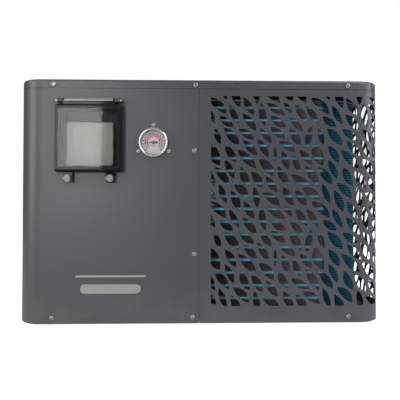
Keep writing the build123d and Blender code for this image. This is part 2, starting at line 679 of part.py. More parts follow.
def four_way_valve_coil():
    """Solenoid beside the reversing valve."""
    coil = block(-118, -82, VALVE_Y + 17, VALVE_Y + 49, VALVE_Z - 14, VALVE_Z + 16)
    coil = fillet(coil.edges().filter_by(Axis.Z), 5)
    pilot = rod((-100, VALVE_Y + 15.2, VALVE_Z), (-100, VALVE_Y + 18, VALVE_Z), 6)
    return coil + pilot


def expansion_valve():
    """Electronic expansion valve with its round stepper coil."""
    x, y = -14, 20
    body = Pos(x, y, 180) * extrude(Circle(8), 38)
    coil = Pos(x, y, 218) * extrude(Circle(19), 34)
    tip = Pos(x, y, 252) * extrude(Circle(6), 8)
    return body + coil + tip


def filter_drier():
    """Filter drier in the liquid line."""
    return capped_can(-14, 100, 120, 110, 17, 10)


def discharge_pipe():
    """From the compressor's top to the reversing valve's upper port."""
    top = COMPRESSOR_Z0 + COMPRESSOR_H + 8
    points = [
        (*COMPRESSOR, top),
        (*COMPRESSOR, top + 30),
        (-40, COMPRESSOR[1], top + 30),
        (-40, COMPRESSOR[1], VALVE_Z + 48),
        (-100, VALVE_Y, VALVE_Z + 48),
        (-100, VALVE_Y, VALVE_Z + 26),
    ]
    return bent_tube(points, 10, PIPE_R)


def suction_pipe():
    """From the reversing valve's middle port to the accumulator."""
    points = [
        (-128, VALVE_Y, VALVE_Z - 28),
        (-128, VALVE_Y, 345),
        (ACCUMULATOR[0], VALVE_Y - 21, 345),
        (*ACCUMULATOR, 310),
    ]
    return bent_tube(points, 14, SUCTION_R - 1)


def liquid_pipe():
    """From the filter drier down and across to the heat exchanger."""
    y1 = EXCHANGER[1] + 40
    points = [(-14, 100, 120), (-14, 100, 86), (-14, 128, 86), (-232, 128, 86), (-232, y1, 86)]
    return bent_tube(points, 12, PIPE_R)


def valve_pipe():
    """From the expansion valve to the coil header."""
    points = [
        (-14, 20, 180),
        (-14, 20, 150),
        (-14, -90, 150),
        (HEADER_X, -90, 150),
        (HEADER_X, HEADER_Y + HEADER_R + 0.1, 150),
    ]
    return bent_tube(points, 7, PIPE_R)


# ---------------------------------------------------------------- water side
def heat_exchanger_shell():
    """Plastic shell of the titanium heat exchanger, open inside."""
    wall = Circle(EXCHANGER_R) - Circle(EXCHANGER_R - 4)
    shell = Pos(*EXCHANGER, EXCHANGER_Z0) * extrude(wall, EXCHANGER_H)
    for z in WATER_Z:
        shell -= rod((EXCHANGER[0], EXCHANGER[1], z), (EXCHANGER[0], EXCHANGER[1] + 80, z), WATER_PIPE_R - 6)
    return shell


def heat_exchanger_caps():
    """Glued end caps of the shell, with a foot ring."""
    caps = []
    for z, height in ((PAN_TOP, EXCHANGER_Z0 - PAN_TOP), (EXCHANGER_Z0 + EXCHANGER_H, 22)):
        cap = Pos(*EXCHANGER, z) * extrude(Circle(EXCHANGER_R + 3), height)
        caps.append(fillet(cap.edges().filter_by(GeomType.CIRCLE), 4))
    return Compound(caps)


COIL_TURNS = 9
COIL_TURN_PITCH = 30.0


def titanium_coil():
    """Helical titanium tube that carries the refrigerant through the water."""
    helix = Helix(pitch=COIL_TURN_PITCH, height=COIL_TURN_PITCH * COIL_TURNS, radius=40)
    section = Plane(origin=helix @ 0, z_dir=helix % 0) * Circle(7)
    return Pos(*EXCHANGER, EXCHANGER_Z0 + 60) * sweep(section, path=helix, is_frenet=True)


def water_pipe(z):
    """Stub from the shell through the rear panel, with the union's threaded seat on its end."""
    x = EXCHANGER[0]
    y0 = EXCHANGER[1] + EXCHANGER_R
    saddle = rod((x, EXCHANGER[1] + 40, z), (x, y0 + 8, z), WATER_PIPE_R + 5)
    saddle -= Pos(*EXCHANGER, z - 60) * extrude(Circle(EXCHANGER_R), 120)
    stub = rod((x, y0 - 14, z), (x, BACK + 12, z), WATER_PIPE_R)
    stub -= Pos(*EXCHANGER, z - 60) * extrude(Circle(EXCHANGER_R), 120)
    bore = rod((x, y0 - 30, z), (x, BACK + 14, z), WATER_PIPE_R - 6)
    thread = rod((x, BACK + 3, z), (x, BACK + 12, z), WATER_PIPE_R + 4)
    return saddle + stub + thread - bore


def union_nut(z):
    """Ribbed union nut, free to turn on its tail."""
    x = EXCHANGER[0]
    y0 = BACK + 4
    nut = rod((x, y0, z), (x, y0 + 28, z), UNION_NUT_R - 3)
    for i in range(12):
        angle = radians(i * 30)
        px = x + (UNION_NUT_R - 3.5) * cos(angle)
        pz = z + (UNION_NUT_R - 3.5) * sin(angle)
        nut += rod((px, y0, pz), (px, y0 + 28, pz), 3.5)
    nut -= rod((x, y0 - 1, z), (x, y0 + 20, z), WATER_PIPE_R + 4.4)
    return nut - rod((x, y0 + 10, z), (x, y0 + 30, z), SOCKET_R + 4.4)


def union_tail(z):
    """Socket tail that the pool pipe is glued into."""
    x = EXCHANGER[0]
    collar = rod((x, BACK + 12.5, z), (x, BACK + 23.5, z), WATER_PIPE_R + 3.5)
    socket = rod((x, BACK + 12.5, z), (x, BACK + UNION_PROUD, z), SOCKET_R + 4)
    tail = collar + socket
    tail -= rod((x, BACK + UNION_PROUD - SOCKET_LENGTH, z), (x, BACK + UNION_PROUD + 1, z), SOCKET_R)
    return tail - rod((x, BACK + 10, z), (x, BACK + UNION_PROUD, z), SOCKET_R - 3)


def flow_switch():
    """Paddle flow switch on top of the outlet stub."""
    x = EXCHANGER[0]
    z = WATER_Z[1] + WATER_PIPE_R
    stem = Pos(x, 140, z - 0.5) * extrude(Circle(11), 10)
    stem -= rod((x, 120, WATER_Z[1]), (x, 160, WATER_Z[1]), WATER_PIPE_R)
    head = block(x - 18, x + 18, 124, 156, z + 9, z + 42)
    return stem + fillet(head.edges().filter_by(Axis.Z), 4)


# ---------------------------------------------------------------- electrics
EBOX_X0, EBOX_X1 = -212.0, -42.0
EBOX_Y0, EBOX_Y1 = -124.0, -40.0
EBOX_Z0, EBOX_Z1 = 262.0, 470.0
GLAND_PLACES = ((-120.0, 430.0), (-75.0, 430.0), (-97.0, 395.0))


def electrical_box():
    """Open-fronted steel enclosure behind the controls."""
    shell = block(EBOX_X0, EBOX_X1, EBOX_Y0, EBOX_Y1, EBOX_Z0, EBOX_Z1)
    inside_x = (EBOX_X0 + SHEET, EBOX_X1 - SHEET)
    inside_z = (EBOX_Z0 + SHEET, EBOX_Z1 - SHEET)
    return shell - block(*inside_x, EBOX_Y0 - 1, EBOX_Y1 - SHEET, *inside_z)


def electrical_box_lid():
    """Front cover of the enclosure with a turned-in edge."""
    gap = 0.4
    out = gap + SHEET
    cover = block(EBOX_X0 - out, EBOX_X1 + out, EBOX_Y0 - out, EBOX_Y0 + 12, EBOX_Z0 - out, EBOX_Z1 + out)
    inside_x = (EBOX_X0 - gap, EBOX_X1 + gap)
    inside_z = (EBOX_Z0 - gap, EBOX_Z1 + gap)
    return cover - block(*inside_x, EBOX_Y0 - gap, EBOX_Y0 + 13, *inside_z)


def main_circuit_board():
    """Driver board with its heat sink, capacitors and relays."""
    y = EBOX_Y1 - 22
    board = block(EBOX_X0 + 12, EBOX_X1 - 12, y, y + 1.6, EBOX_Z0 + 46, EBOX_Z1 - 12)
    for x, z in ((-185, 430), (-155, 430), (-125, 430)):
        board += rod((x, y, z), (x, y - 34, z), 12)
    for x in (-95, -70):
        board += block(x - 9, x + 9, y - 16, y, 400, 430)
    for z in (330, 346, 362):
        board += block(-195, -150, y - 20, y, z, z + 6)
    board += block(-130, -75, y - 6, y, 330, 375)
    for x in (EBOX_X0 + 20, EBOX_X1 - 20):
        for z in (EBOX_Z0 + 54, EBOX_Z1 - 20):
            board += rod((x, y + 1.6, z), (x, EBOX_Y1 - SHEET, z), 3)
    return board


def terminal_block():
    """Row of screw terminals for the supply and control wires."""
    base = block(-200, -100, EBOX_Y1 - 30, EBOX_Y1 - SHEET, EBOX_Z0 + 10, EBOX_Z0 + 36)
    for i in range(7):
        x = -193 + i * 14
        base -= block(x - 5, x + 5, EBOX_Y1 - 31, EBOX_Y1 - 20, EBOX_Z0 + 14, EBOX_Z0 + 32)
    return base


def cable_glands():
    """Three cable glands with hexagonal domes, each bored for its cable."""
    glands = []
    for x, z in GLAND_PLACES:
        plane = Plane(origin=(x, BACK, z), x_dir=(1, 0, 0), z_dir=(0, 1, 0))
        seat = extrude(RegularPolygon(14.5, 6), 6)
        dome = fillet(extrude(Circle(12.5), 20).edges().sort_by(Axis.Z)[-1], 3)
        throat = Pos(0, 0, -12) * extrude(Circle(10), 13)
        locknut = Pos(0, 0, -SHEET - 6) * extrude(RegularPolygon(14, 6), 6)
        gland = seat + dome + throat + locknut - Pos(0, 0, -13) * extrude(Circle(6.5), 40)
        glands.append(plane * gland)
    return Compound(glands)


# ---------------------------------------------------------------- window box
EAR_X = (BOX_X - 58.0, BOX_X + 58.0)
EAR_HALF = 5.0
BARREL_HALF = 52.0


def control_box_base():
    """Moulded frame and tub in the front panel, with the hinge ears and latch seats."""
    x0, x1 = BOX_X - BOX_HALF_W + 4, BOX_X + BOX_HALF_W - 4
    frame_plate = block(x0, x1, FRONT - FRAME_PROUD, FRONT, BOX_Z0 + 2, HINGE_Z + HINGE_R)
    tub = block(BOX_X - 60.5, BOX_X + 60.5, FRONT - 1, FRONT + 42, BOX_Z0 + 8.5, BOX_Z1 - 8.5)
    tub = fillet(tub.edges().filter_by(Axis.Y), 5)
    hollow = block(BOX_X - 58, BOX_X + 58, FRONT - 10, FRONT + 39.5, BOX_Z0 + 11, BOX_Z1 - 11)
    base = frame_plate + tub - hollow
    for x in EAR_X:
        ear = block(x - EAR_HALF, x + EAR_HALF, HINGE_Y, FRONT, HINGE_Z - HINGE_R, HINGE_Z + HINGE_R)
        ear += rod((x - EAR_HALF, HINGE_Y, HINGE_Z), (x + EAR_HALF, HINGE_Y, HINGE_Z), HINGE_R)
        base += ear
    for x in LATCH_X:
        seat = block(x - 10, x + 10, FRONT - FRAME_PROUD, FRONT, LATCH_Z - 9, BOX_Z0 + 4)
        seat -= rod((x, FRONT - 8, LATCH_Z), (x, FRONT + 2, LATCH_Z), LATCH_STUD_R + 1.0)
        base += seat
    pin_hole = rod((BOX_X - 80, HINGE_Y, HINGE_Z), (BOX_X + 80, HINGE_Y, HINGE_Z), HINGE_PIN_R + 0.02)
    return base - pin_hole


def control_box_gasket():
    """Foam seal on the frame, inside the lid's edge."""
    y1 = FRONT - FRAME_PROUD
    outer = block(BOX_X - 64.5, BOX_X + 64.5, y1 - 2.2, y1, BOX_Z0 + 3, BOX_Z1 - 5)
    return outer - block(BOX_X - 60, BOX_X + 60, FRONT - 10, FRONT, BOX_Z0 + 9, BOX_Z1 - 11)


def tapered_box(x_half, z0, z1, y0, y1, taper):
    """Block that narrows by a taper towards the front."""
    width = 2 * x_half
    height = z1 - z0
    rear_plane = Plane(origin=(BOX_X, y1, (z0 + z1) / 2), x_dir=(1, 0, 0), z_dir=(0, -1, 0))
    front_plane = Plane(origin=(BOX_X, y0, (z0 + z1) / 2), x_dir=(1, 0, 0), z_dir=(0, -1, 0))
    rear = rear_plane * RectangleRounded(width, height, 6)
    front = front_plane * RectangleRounded(width - 2 * taper, height - 2 * taper, 4)
    return loft([rear, front])


def control_lid():
    """Smoked window lid: a tapered shell with a hinge barrel above and two latch lugs below."""
    y_back = FRONT - FRAME_PROUD - 2.6
    y_step = FRONT - 19
    y_front = FRONT - LID_PROUD
    skirt = tapered_box(BOX_HALF_W, BOX_Z0, BOX_Z1 - 3, y_step, y_back, 1.5)
    crown = tapered_box(BOX_HALF_W - 1.5, BOX_Z0 + 1.5, BOX_Z1 - 4.5, y_front, y_step, 5)
    half = BOX_HALF_W - LID_WALL
    z0 = BOX_Z0 + LID_WALL
    z1 = BOX_Z1 - 3 - LID_WALL
    inside_skirt = tapered_box(half, z0, z1, y_step, y_back + 0.01, 1.5)
    inside_crown = tapered_box(half - 1.5, z0 + 1.5, z1 - 1.5, y_front + LID_WALL, y_step, 4.5)
    lid = skirt + crown - inside_skirt - inside_crown
    barrel = rod((BOX_X - BARREL_HALF, HINGE_Y, HINGE_Z), (BOX_X + BARREL_HALF, HINGE_Y, HINGE_Z), HINGE_R)
    web_y = HINGE_Y - HINGE_R
    web = block(BOX_X - BARREL_HALF, BOX_X + BARREL_HALF, web_y, web_y + 3, BOX_Z1 - 6, HINGE_Z)
    lid += barrel + web
    for x in LATCH_X:
        lug = block(x - 9, x + 9, y_back - 5, y_back, LATCH_Z - 9, BOX_Z0 + 3)
        lid += fillet(lug.edges().filter_by(Axis.Y).group_by(Axis.Z)[0], 5)
        lid -= rod((x, y_back - 8, LATCH_Z), (x, y_back + 1, LATCH_Z), LATCH_STUD_R + 0.05)
    return lid - rod((BOX_X - 80, HINGE_Y, HINGE_Z), (BOX_X + 80, HINGE_Y, HINGE_Z), HINGE_PIN_R + 0.05)


def lid_hinge_pin():
    """Steel pin through the ears and the lid's barrel, headed at both ends."""
    half = EAR_X[1] - BOX_X + EAR_HALF
    pin = rod((BOX_X - half, HINGE_Y, HINGE_Z), (BOX_X + half, HINGE_Y, HINGE_Z), HINGE_PIN_R)
    for side in (-1, 1):
        x = BOX_X + side * half
        pin += rod((x, HINGE_Y, HINGE_Z), (x + side * 4, HINGE_Y, HINGE_Z), 3.6)
    return pin


def latch(x):
    """Quarter-turn knob captive in the lid's lug."""
    y = FRONT - FRAME_PROUD - 2.6 - 5
    stud = rod((x, y, LATCH_Z), (x, FRONT + 3, LATCH_Z), LATCH_STUD_R)
    knob = rod((x, y - 5.3, LATCH_Z), (x, y - 0.3, LATCH_Z), 7.5)
    grip = block(x - 7.2, x + 7.2, y - 11, y - 5, LATCH_Z - 1.8, LATCH_Z + 1.8)
    neck = rod((x, y - 1, LATCH_Z), (x, y + 1, LATCH_Z), LATCH_STUD_R)
    return knob + grip + neck + stud


def controller_body():
    """Wired controller in the tub."""
    y0 = FRONT - 3
    case = block(BOX_X - 48, BOX_X + 48, y0, FRONT + 16, 326, 416)
    case = fillet(case.edges().filter_by(Axis.Y), 6)
    case = chamfer(case.edges().group_by(Axis.Y)[0], 1.5)
    case -= block(BOX_X - 36, BOX_X + 36, y0 - 1, y0 + 1.2, 362, 406)
    feet = block(BOX_X - 30, BOX_X + 30, FRONT + 16, FRONT + 39.5, 340, 400)
    for i in range(4):
        x = BOX_X - 33 + i * 22
        case -= rod((x, y0 - 1, 344), (x, y0 + 0.8, 344), 6.5)
        case += rod((x, y0 + 0.2, 344), (x, y0 + 1, 344), 5.8)
    return case + feet


def controller_screen():
    """Glass of the controller's display."""
    return block(BOX_X - 35.8, BOX_X + 35.8, FRONT - 2.6, FRONT - 1.8, 362.2, 405.8)


# ---------------------------------------------------------------- gauge
def gauge_screw_places():
    """Three gauge screws on their circle."""
    radius = GAUGE_SCREW_PCD / 2
    return [(GAUGE_X + radius * cos(radians(a)), GAUGE_Z + radius * sin(radians(a))) for a in (90, 210, 330)]


GAUGE_PLANE = Plane(origin=(GAUGE_X, FRONT, GAUGE_Z), x_dir=(1, 0, 0), z_dir=(0, -1, 0))


def gauge_case():
    """Case behind the panel with its fixing flange and pressure stem."""
    can = Pos(0, 0, -30) * extrude(Circle(GAUGE_R - 2.4), 33)
    flange = Pos(0, 0, -SHEET - 2) * (extrude(Circle(42), 1.9))
    hollow = Pos(0, 0, -24) * extrude(Circle(GAUGE_R - 4.4), 40)
    stem = Pos(0, 0, -52) * extrude(Circle(5), 23)
    hexagon = Pos(0, 0, -42) * extrude(RegularPolygon(8, 6), 12)
    case = can + flange - hollow + stem + hexagon
    for x, z in gauge_screw_places():
        case -= Pos(x - GAUGE_X, z - GAUGE_Z, -3) * Cylinder(2.2, 20)
    return GAUGE_PLANE * case


def gauge_bezel():
    """Chromed ring that holds the glass."""
    ring = Circle(GAUGE_R) - Circle(GAUGE_DIAL_R + 0.6)
    bezel = extrude(ring, GAUGE_PROUD)
    bezel = fillet(bezel.edges().group_by(Axis.Z)[-1], 1.8)
    bezel -= extrude(Circle(GAUGE_R - 2.2), 3.1)
    return GAUGE_PLANE * bezel


def gauge_dial():
    """White dial plate with the needle's pivot post."""
    plate = Pos(0, 0, -1) * extrude(Circle(GAUGE_DIAL_R), 1)
    backing = Pos(0, 0, -24) * extrude(Circle(6), 23)
    post = extrude(Circle(1), 3.4)
    return GAUGE_PLANE * (plate + backing + post)


def gauge_needle():
    """Pointer with a wide tail, pointing left at rest."""
    tip = 19.0
    tail = 9.0
    outline_points = [(-tip, 0.25), (-2.5, 1.0), (tail, 1.9), (tail, -1.9), (-2.5, -1.0), (-tip, -0.25)]
    pointer = extrude(make_face(Polyline(*outline_points, close=True)), 0.8) + extrude(Circle(3.2), 1.6)
    pointer -= Pos(0, 0, -1) * extrude(Circle(1.05), 5)
    return GAUGE_PLANE * (Pos(0, 0, 1.2) * pointer)


def gauge_lens():
    """Flat glass of the gauge."""
    return GAUGE_PLANE * (Pos(0, 0, 5) * extrude(Circle(GAUGE_DIAL_R + 0.4), 1.6))


def gauge_screws():
    """Three pan-head screws that hold the gauge's flange."""
    screws = []
    for x, z in gauge_screw_places():
        head = fillet(extrude(Circle(4.25), 2.4).edges().sort_by(Axis.Z)[-1], 1.6)
        shank = Pos(0, 0, -7) * extrude(Circle(2), 7)
        slot = Pos(0, 0, 2.4) * Box(5, 1, 1.6) + Pos(0, 0, 2.4) * Box(1, 5, 1.6)
        screws.append(GAUGE_PLANE * (Pos(x - GAUGE_X, z - GAUGE_Z, 0) * (head + shank - slot)))
    return Compound(screws)


def nameplate():
    """Blank polished badge: a plain bar below a slim one, both with round ends."""
    plane = Plane(origin=(BADGE_X, FRONT, BADGE_Z), x_dir=(1, 0, 0), z_dir=(0, -1, 0))
    bar = extrude(SlotOverall(BADGE_LENGTH, BADGE_HEIGHT), BADGE_THICK)
    bar = chamfer(bar.edges().group_by(Axis.Z)[-1], 0.6)
    line = Pos(0, BADGE_HEIGHT + 6) * extrude(SlotOverall(BADGE_LENGTH + 20, 5), BADGE_THICK)
    line = chamfer(line.edges().group_by(Axis.Z)[-1], 0.6)
    return Compound([plane * bar, plane * line])


def main():
    """Build every piece and write it."""
    os.makedirs("parts", exist_ok=True)
    holes = screw_holes()
    save("base_pan", base_pan(holes))
    save("base_rails", base_rails())
    save("drain_spout", drain_spout())
    save("top_cover", top_cover(holes))
    save("control_panel", control_panel(holes))
    save("grille_panel", grille_panel(holes))
    save("rear_service_panel", rear_service_panel(holes))
    save("rear_fan_panel", rear_fan_panel(holes))
    save("divider_panel", divider_panel())
    save("casing_screws", casing_screws())
    save("evaporator_fins", evaporator_fins())
    save("evaporator_tubes", evaporator_tubes())
    save("evaporator_end_plates", evaporator_end_plates())
    save("coil_header", coil_header())
    save("fan_motor", fan_motor())
    save("fan_motor_bracket", fan_motor_bracket())
    save("fan_shaft", fan_shaft())
    save("fan_blade", fan_blade())
    save("fan_hub_nut", fan_hub_nut())
    save("fan_shroud", fan_shroud())
    save("fan_guard", fan_guard())
    save("compressor", compressor())
    save("compressor_grommets", compressor_grommets())
    save("compressor_bolts", compressor_bolts())
    save("accumulator", accumulator())
    save("four_way_valve", four_way_valve())
    save("four_way_valve_coil", four_way_valve_coil())
    save("expansion_valve", expansion_valve())
    save("filter_drier", filter_drier())
    save("refrigerant_pipes", Compound([discharge_pipe(), suction_pipe(), liquid_pipe(), valve_pipe()]))
    save("heat_exchanger_shell", heat_exchanger_shell())
    save("heat_exchanger_caps", heat_exchanger_caps())
    save("titanium_coil", titanium_coil())
    for name, z in zip(("inlet", "outlet"), WATER_Z):
        save(f"water_{name}_pipe", water_pipe(z))
        save(f"{name}_union_nut", union_nut(z))
        save(f"{name}_union_tail", union_tail(z))
    save("flow_switch", flow_switch())
    save("electrical_box", electrical_box())
    save("electrical_box_lid", electrical_box_lid())
    save("main_circuit_board", main_circuit_board())
    save("terminal_block", terminal_block())
    save("cable_glands", cable_glands())
    save("control_box_base", control_box_base())
    save("control_box_gasket", control_box_gasket())
    save("control_lid", control_lid())
    save("lid_hinge_pin", lid_hinge_pin())
    save("latch_left", latch(LATCH_X[0]))
    save("latch_right", latch(LATCH_X[1]))
    save("controller_body", controller_body())
    save("controller_screen", controller_screen())
    save("gauge_case", gauge_case())
    save("gauge_bezel", gauge_bezel())
    save("gauge_dial", gauge_dial())
    save("gauge_needle", gauge_needle())
    save("gauge_lens", gauge_lens())
    save("gauge_screws", gauge_screws())
    save("nameplate", nameplate())


main()
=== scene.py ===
"""Studio scene of a swimming-pool heat pump unit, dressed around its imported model."""
import logging
import math
from dataclasses import dataclass
from enum import Enum

import bpy
from mathutils import Matrix, Vector


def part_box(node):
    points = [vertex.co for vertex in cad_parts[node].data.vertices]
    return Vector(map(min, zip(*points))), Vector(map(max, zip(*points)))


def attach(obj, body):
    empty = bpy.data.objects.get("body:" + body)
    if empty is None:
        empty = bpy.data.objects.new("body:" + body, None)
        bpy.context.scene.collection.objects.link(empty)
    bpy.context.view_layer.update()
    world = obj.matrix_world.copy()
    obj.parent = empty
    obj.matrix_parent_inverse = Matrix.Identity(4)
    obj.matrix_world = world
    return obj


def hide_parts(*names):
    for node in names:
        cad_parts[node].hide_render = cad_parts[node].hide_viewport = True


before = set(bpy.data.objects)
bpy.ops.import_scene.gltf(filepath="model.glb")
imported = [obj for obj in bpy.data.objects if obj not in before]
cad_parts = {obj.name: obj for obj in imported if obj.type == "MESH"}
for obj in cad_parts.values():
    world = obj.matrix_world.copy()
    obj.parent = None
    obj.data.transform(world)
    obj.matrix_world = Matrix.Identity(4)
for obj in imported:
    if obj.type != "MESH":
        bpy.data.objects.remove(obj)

LOG = logging.getLogger("heat_pump")
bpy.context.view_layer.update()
CAD_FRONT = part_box("control_panel")[0][1]
MM = 0.001


class Grain(Enum):
    """How a finish's fine relief looks."""

    ORANGE_PEEL = "orange_peel"
    BRUSHED = "brushed"
    MOULDED = "moulded"
    SMOOTH = "smooth"


GRAIN_SHAPE = {
    Grain.ORANGE_PEEL: ((900.0, 900.0, 900.0), 2.0),
    Grain.BRUSHED: ((120.0, 1400.0, 1400.0), 4.0),
    Grain.MOULDED: ((2200.0, 2200.0, 2200.0), 3.0),
    Grain.SMOOTH: ((60.0, 60.0, 60.0), 2.0),
}


class ShaderTree:
    """Small helper that places and wires shader nodes."""

    def __init__(self, tree: bpy.types.NodeTree) -> None:
        """Keep the tree that the nodes go in."""
        self.tree = tree

    def add(self, kind: str, **settings: object) -> bpy.types.Node:
        """Place a node.

        Args:
            kind: Blender's name of the node type.
            settings: Attributes to set on the node.

        Returns:
            The new node.
        """
        node = self.tree.nodes.new(kind)
        for name, value in settings.items():
            setattr(node, name, value)
        return node

    def wire(self, source: bpy.types.NodeSocket, target: bpy.types.NodeSocket) -> None:
        """Join an output to an input."""
        self.tree.links.new(source, target)

    def math(self, operation: str, first: object, second: object) -> bpy.types.NodeSocket:
        """Place a math node.

        Args:
            operation: Blender's name of the operation.
            first: A socket or a number.
            second: A socket or a number.

        Returns:
            The result's socket.
        """
        node = self.add("ShaderNodeMath", operation=operation)
        for socket, value in zip(node.inputs, (first, second)):
            if isinstance(value, bpy.types.NodeSocket):
                self.wire(value, socket)
            else:
                socket.default_value = value
        return node.outputs[0]


def new_group(name: str, inputs: dict[str, float], outputs: tuple[str, ...]) -> bpy.types.NodeTree:
    """Start a shader group with float inputs and outputs.

    Args:
        name: The group's name.
        inputs: Input names and their usual values.
        outputs: Output names.

    Returns:
        The group, holding its input and output nodes.
    """
    group = bpy.data.node_groups.new(name, "ShaderNodeTree")
    group.interface.new_socket("Vector", in_out="INPUT", socket_type="NodeSocketVector")
    for label, value in inputs.items():
        socket = group.interface.new_socket(label, in_out="INPUT", socket_type="NodeSocketFloat")
        socket.default_value = value
    for label in outputs:
        group.interface.new_socket(label, in_out="OUTPUT", socket_type="NodeSocketFloat")
    return group


def relief_group() -> bpy.types.NodeTree:
    """Build the group that gives a finish its fine relief and its slow unevenness.

    Returns:
        A group with the outputs Relief and Cloud.
    """
    group = new_group("relief", {"Detail": 2.0, "Cloud Scale": 5.0}, ("Relief", "Cloud"))
    net = ShaderTree(group)
    entry = net.add("NodeGroupInput")
    fine = net.add("ShaderNodeTexNoise")
    fine.inputs["Scale"].default_value = 1.0
    net.wire(entry.outputs["Vector"], fine.inputs["Vector"])
    net.wire(entry.outputs["Detail"], fine.inputs["Detail"])
    place = net.add("ShaderNodeTexCoord")
    cloud = net.add("ShaderNodeTexNoise")
    net.wire(place.outputs["Object"], cloud.inputs["Vector"])
    net.wire(entry.outputs["Cloud Scale"], cloud.inputs["Scale"])
    leave = net.add("NodeGroupOutput")
    net.wire(fine.outputs["Fac"], leave.inputs["Relief"])
    net.wire(cloud.outputs["Fac"], leave.inputs["Cloud"])
    return group


def wear_group() -> bpy.types.NodeTree:
    """Build the group that finds worn edges and sparse scuffs.

    Returns:
        A group with the output Wear.
    """
    group = new_group("edge_wear", {"Scuff Scale": 90.0}, ("Wear",))
    net = ShaderTree(group)
    entry = net.add("NodeGroupInput")
    shape = net.add("ShaderNodeNewGeometry")
    rounded = net.add("ShaderNodeBevel", samples=4)
    rounded.inputs["Radius"].default_value = 1.2 * MM
    agree = net.add("ShaderNodeVectorMath", operation="DOT_PRODUCT")
    net.wire(rounded.outputs["Normal"], agree.inputs[0])
    net.wire(shape.outputs["True Normal"], agree.inputs[1])
    edge = net.add("ShaderNodeMapRange")
    edge.inputs["From Min"].default_value = 0.97
    edge.inputs["From Max"].default_value = 0.80
    net.wire(agree.outputs["Value"], edge.inputs["Value"])
    patch = net.add("ShaderNodeTexNoise")
    net.wire(entry.outputs["Vector"], patch.inputs["Vector"])
    net.wire(entry.outputs["Scuff Scale"], patch.inputs["Scale"])
    sparse = net.add("ShaderNodeMapRange")
    sparse.inputs["From Min"].default_value = 0.55
    sparse.inputs["From Max"].default_value = 0.75
    net.wire(patch.outputs["Fac"], sparse.inputs["Value"])
    mixed = net.math("MULTIPLY", edge.outputs["Result"], sparse.outputs["Result"])
    leave = net.add("NodeGroupOutput")
    net.wire(mixed, leave.inputs["Wear"])
    return group


def ripple_shade_group() -> bpy.types.NodeTree:
    """Build the group that paints shade on the fins' ripples as soft dark level stripes.

    Returns:
        A group with the output Band.
    """
    group = new_group("fin_ripple_shade", {"Pitch": 5.46 * MM}, ("Band",))
    net = ShaderTree(group)
    entry = net.add("NodeGroupInput")
    split = net.add("ShaderNodeSeparateXYZ")
    net.wire(entry.outputs["Vector"], split.inputs[0])
    turns = net.math("DIVIDE", split.outputs["Z"], entry.outputs["Pitch"])
    wave = net.math("SINE", net.math("MULTIPLY", turns, 2 * math.pi), 0.0)
    level = net.add("ShaderNodeMapRange")
    level.inputs["From Min"].default_value = -0.4
    level.inputs["From Max"].default_value = 0.6
    net.wire(wave, level.inputs["Value"])
    leave = net.add("NodeGroupOutput")
    net.wire(level.outputs["Result"], leave.inputs["Band"])
    return group


def painted_border_group() -> bpy.types.NodeTree:
    """Build the group that masks the window's outer band, where a painted dark reflection of the chamfer is
    laid as an opaque dark band, measured from the window's middle.

    Returns:
        A group with the output Border.
    """
    group = new_group("window_painted_dark_border", {"Half Width": 0.05}, ("Border",))
    net = ShaderTree(group)
    entry = net.add("NodeGroupInput")
    split = net.add("ShaderNodeSeparateXYZ")
    net.wire(entry.outputs["Vector"], split.inputs[0])
    low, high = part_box("control_box_gasket")
    across = net.math("ABSOLUTE", net.math("SUBTRACT", split.outputs["X"], (low[0] + high[0]) / 2), 0.0)
    up = net.math("ABSOLUTE", net.math("SUBTRACT", split.outputs["Z"], (low[2] + high[2]) / 2), 0.0)
    far = net.math("MAXIMUM", across, up)
    mask = net.math("GREATER_THAN", far, entry.outputs["Half Width"])
    leave = net.add("NodeGroupOutput")
    net.wire(mask, leave.inputs["Border"])
    return group


def dust_group() -> bpy.types.NodeTree:
    """Build the group that settles dust low down on a surface.

    Returns:
        A group with the output Dust.
    """
    group = new_group("dust", {"Height": 0.1, "Patch Scale": 30.0}, ("Dust",))
    net = ShaderTree(group)
    entry = net.add("NodeGroupInput")
    split = net.add("ShaderNodeSeparateXYZ")
    net.wire(entry.outputs["Vector"], split.inputs[0])
    low = net.math("DIVIDE", split.outputs["Z"], entry.outputs["Height"])
    fade = net.math("SUBTRACT", 1.0, low)
    patch = net.add("ShaderNodeTexNoise")
    net.wire(entry.outputs["Vector"], patch.inputs["Vector"])
    net.wire(entry.outputs["Patch Scale"], patch.inputs["Scale"])
    mixed = net.math("MULTIPLY", fade, patch.outputs["Fac"])
    clamp = net.add("ShaderNodeClamp")
    net.wire(mixed, clamp.inputs["Value"])
    leave = net.add("NodeGroupOutput")
    net.wire(clamp.outputs[0], leave.inputs["Dust"])
    return group


DUST_COLOR = (0.30, 0.28, 0.25, 1)
# Painted shade laid in stripes on the fins' ripples.
RIPPLE_SHADE_COLOR = (0.01, 0.015, 0.03, 1)
SCUFF_COLOR = (0.22, 0.22, 0.23, 1)


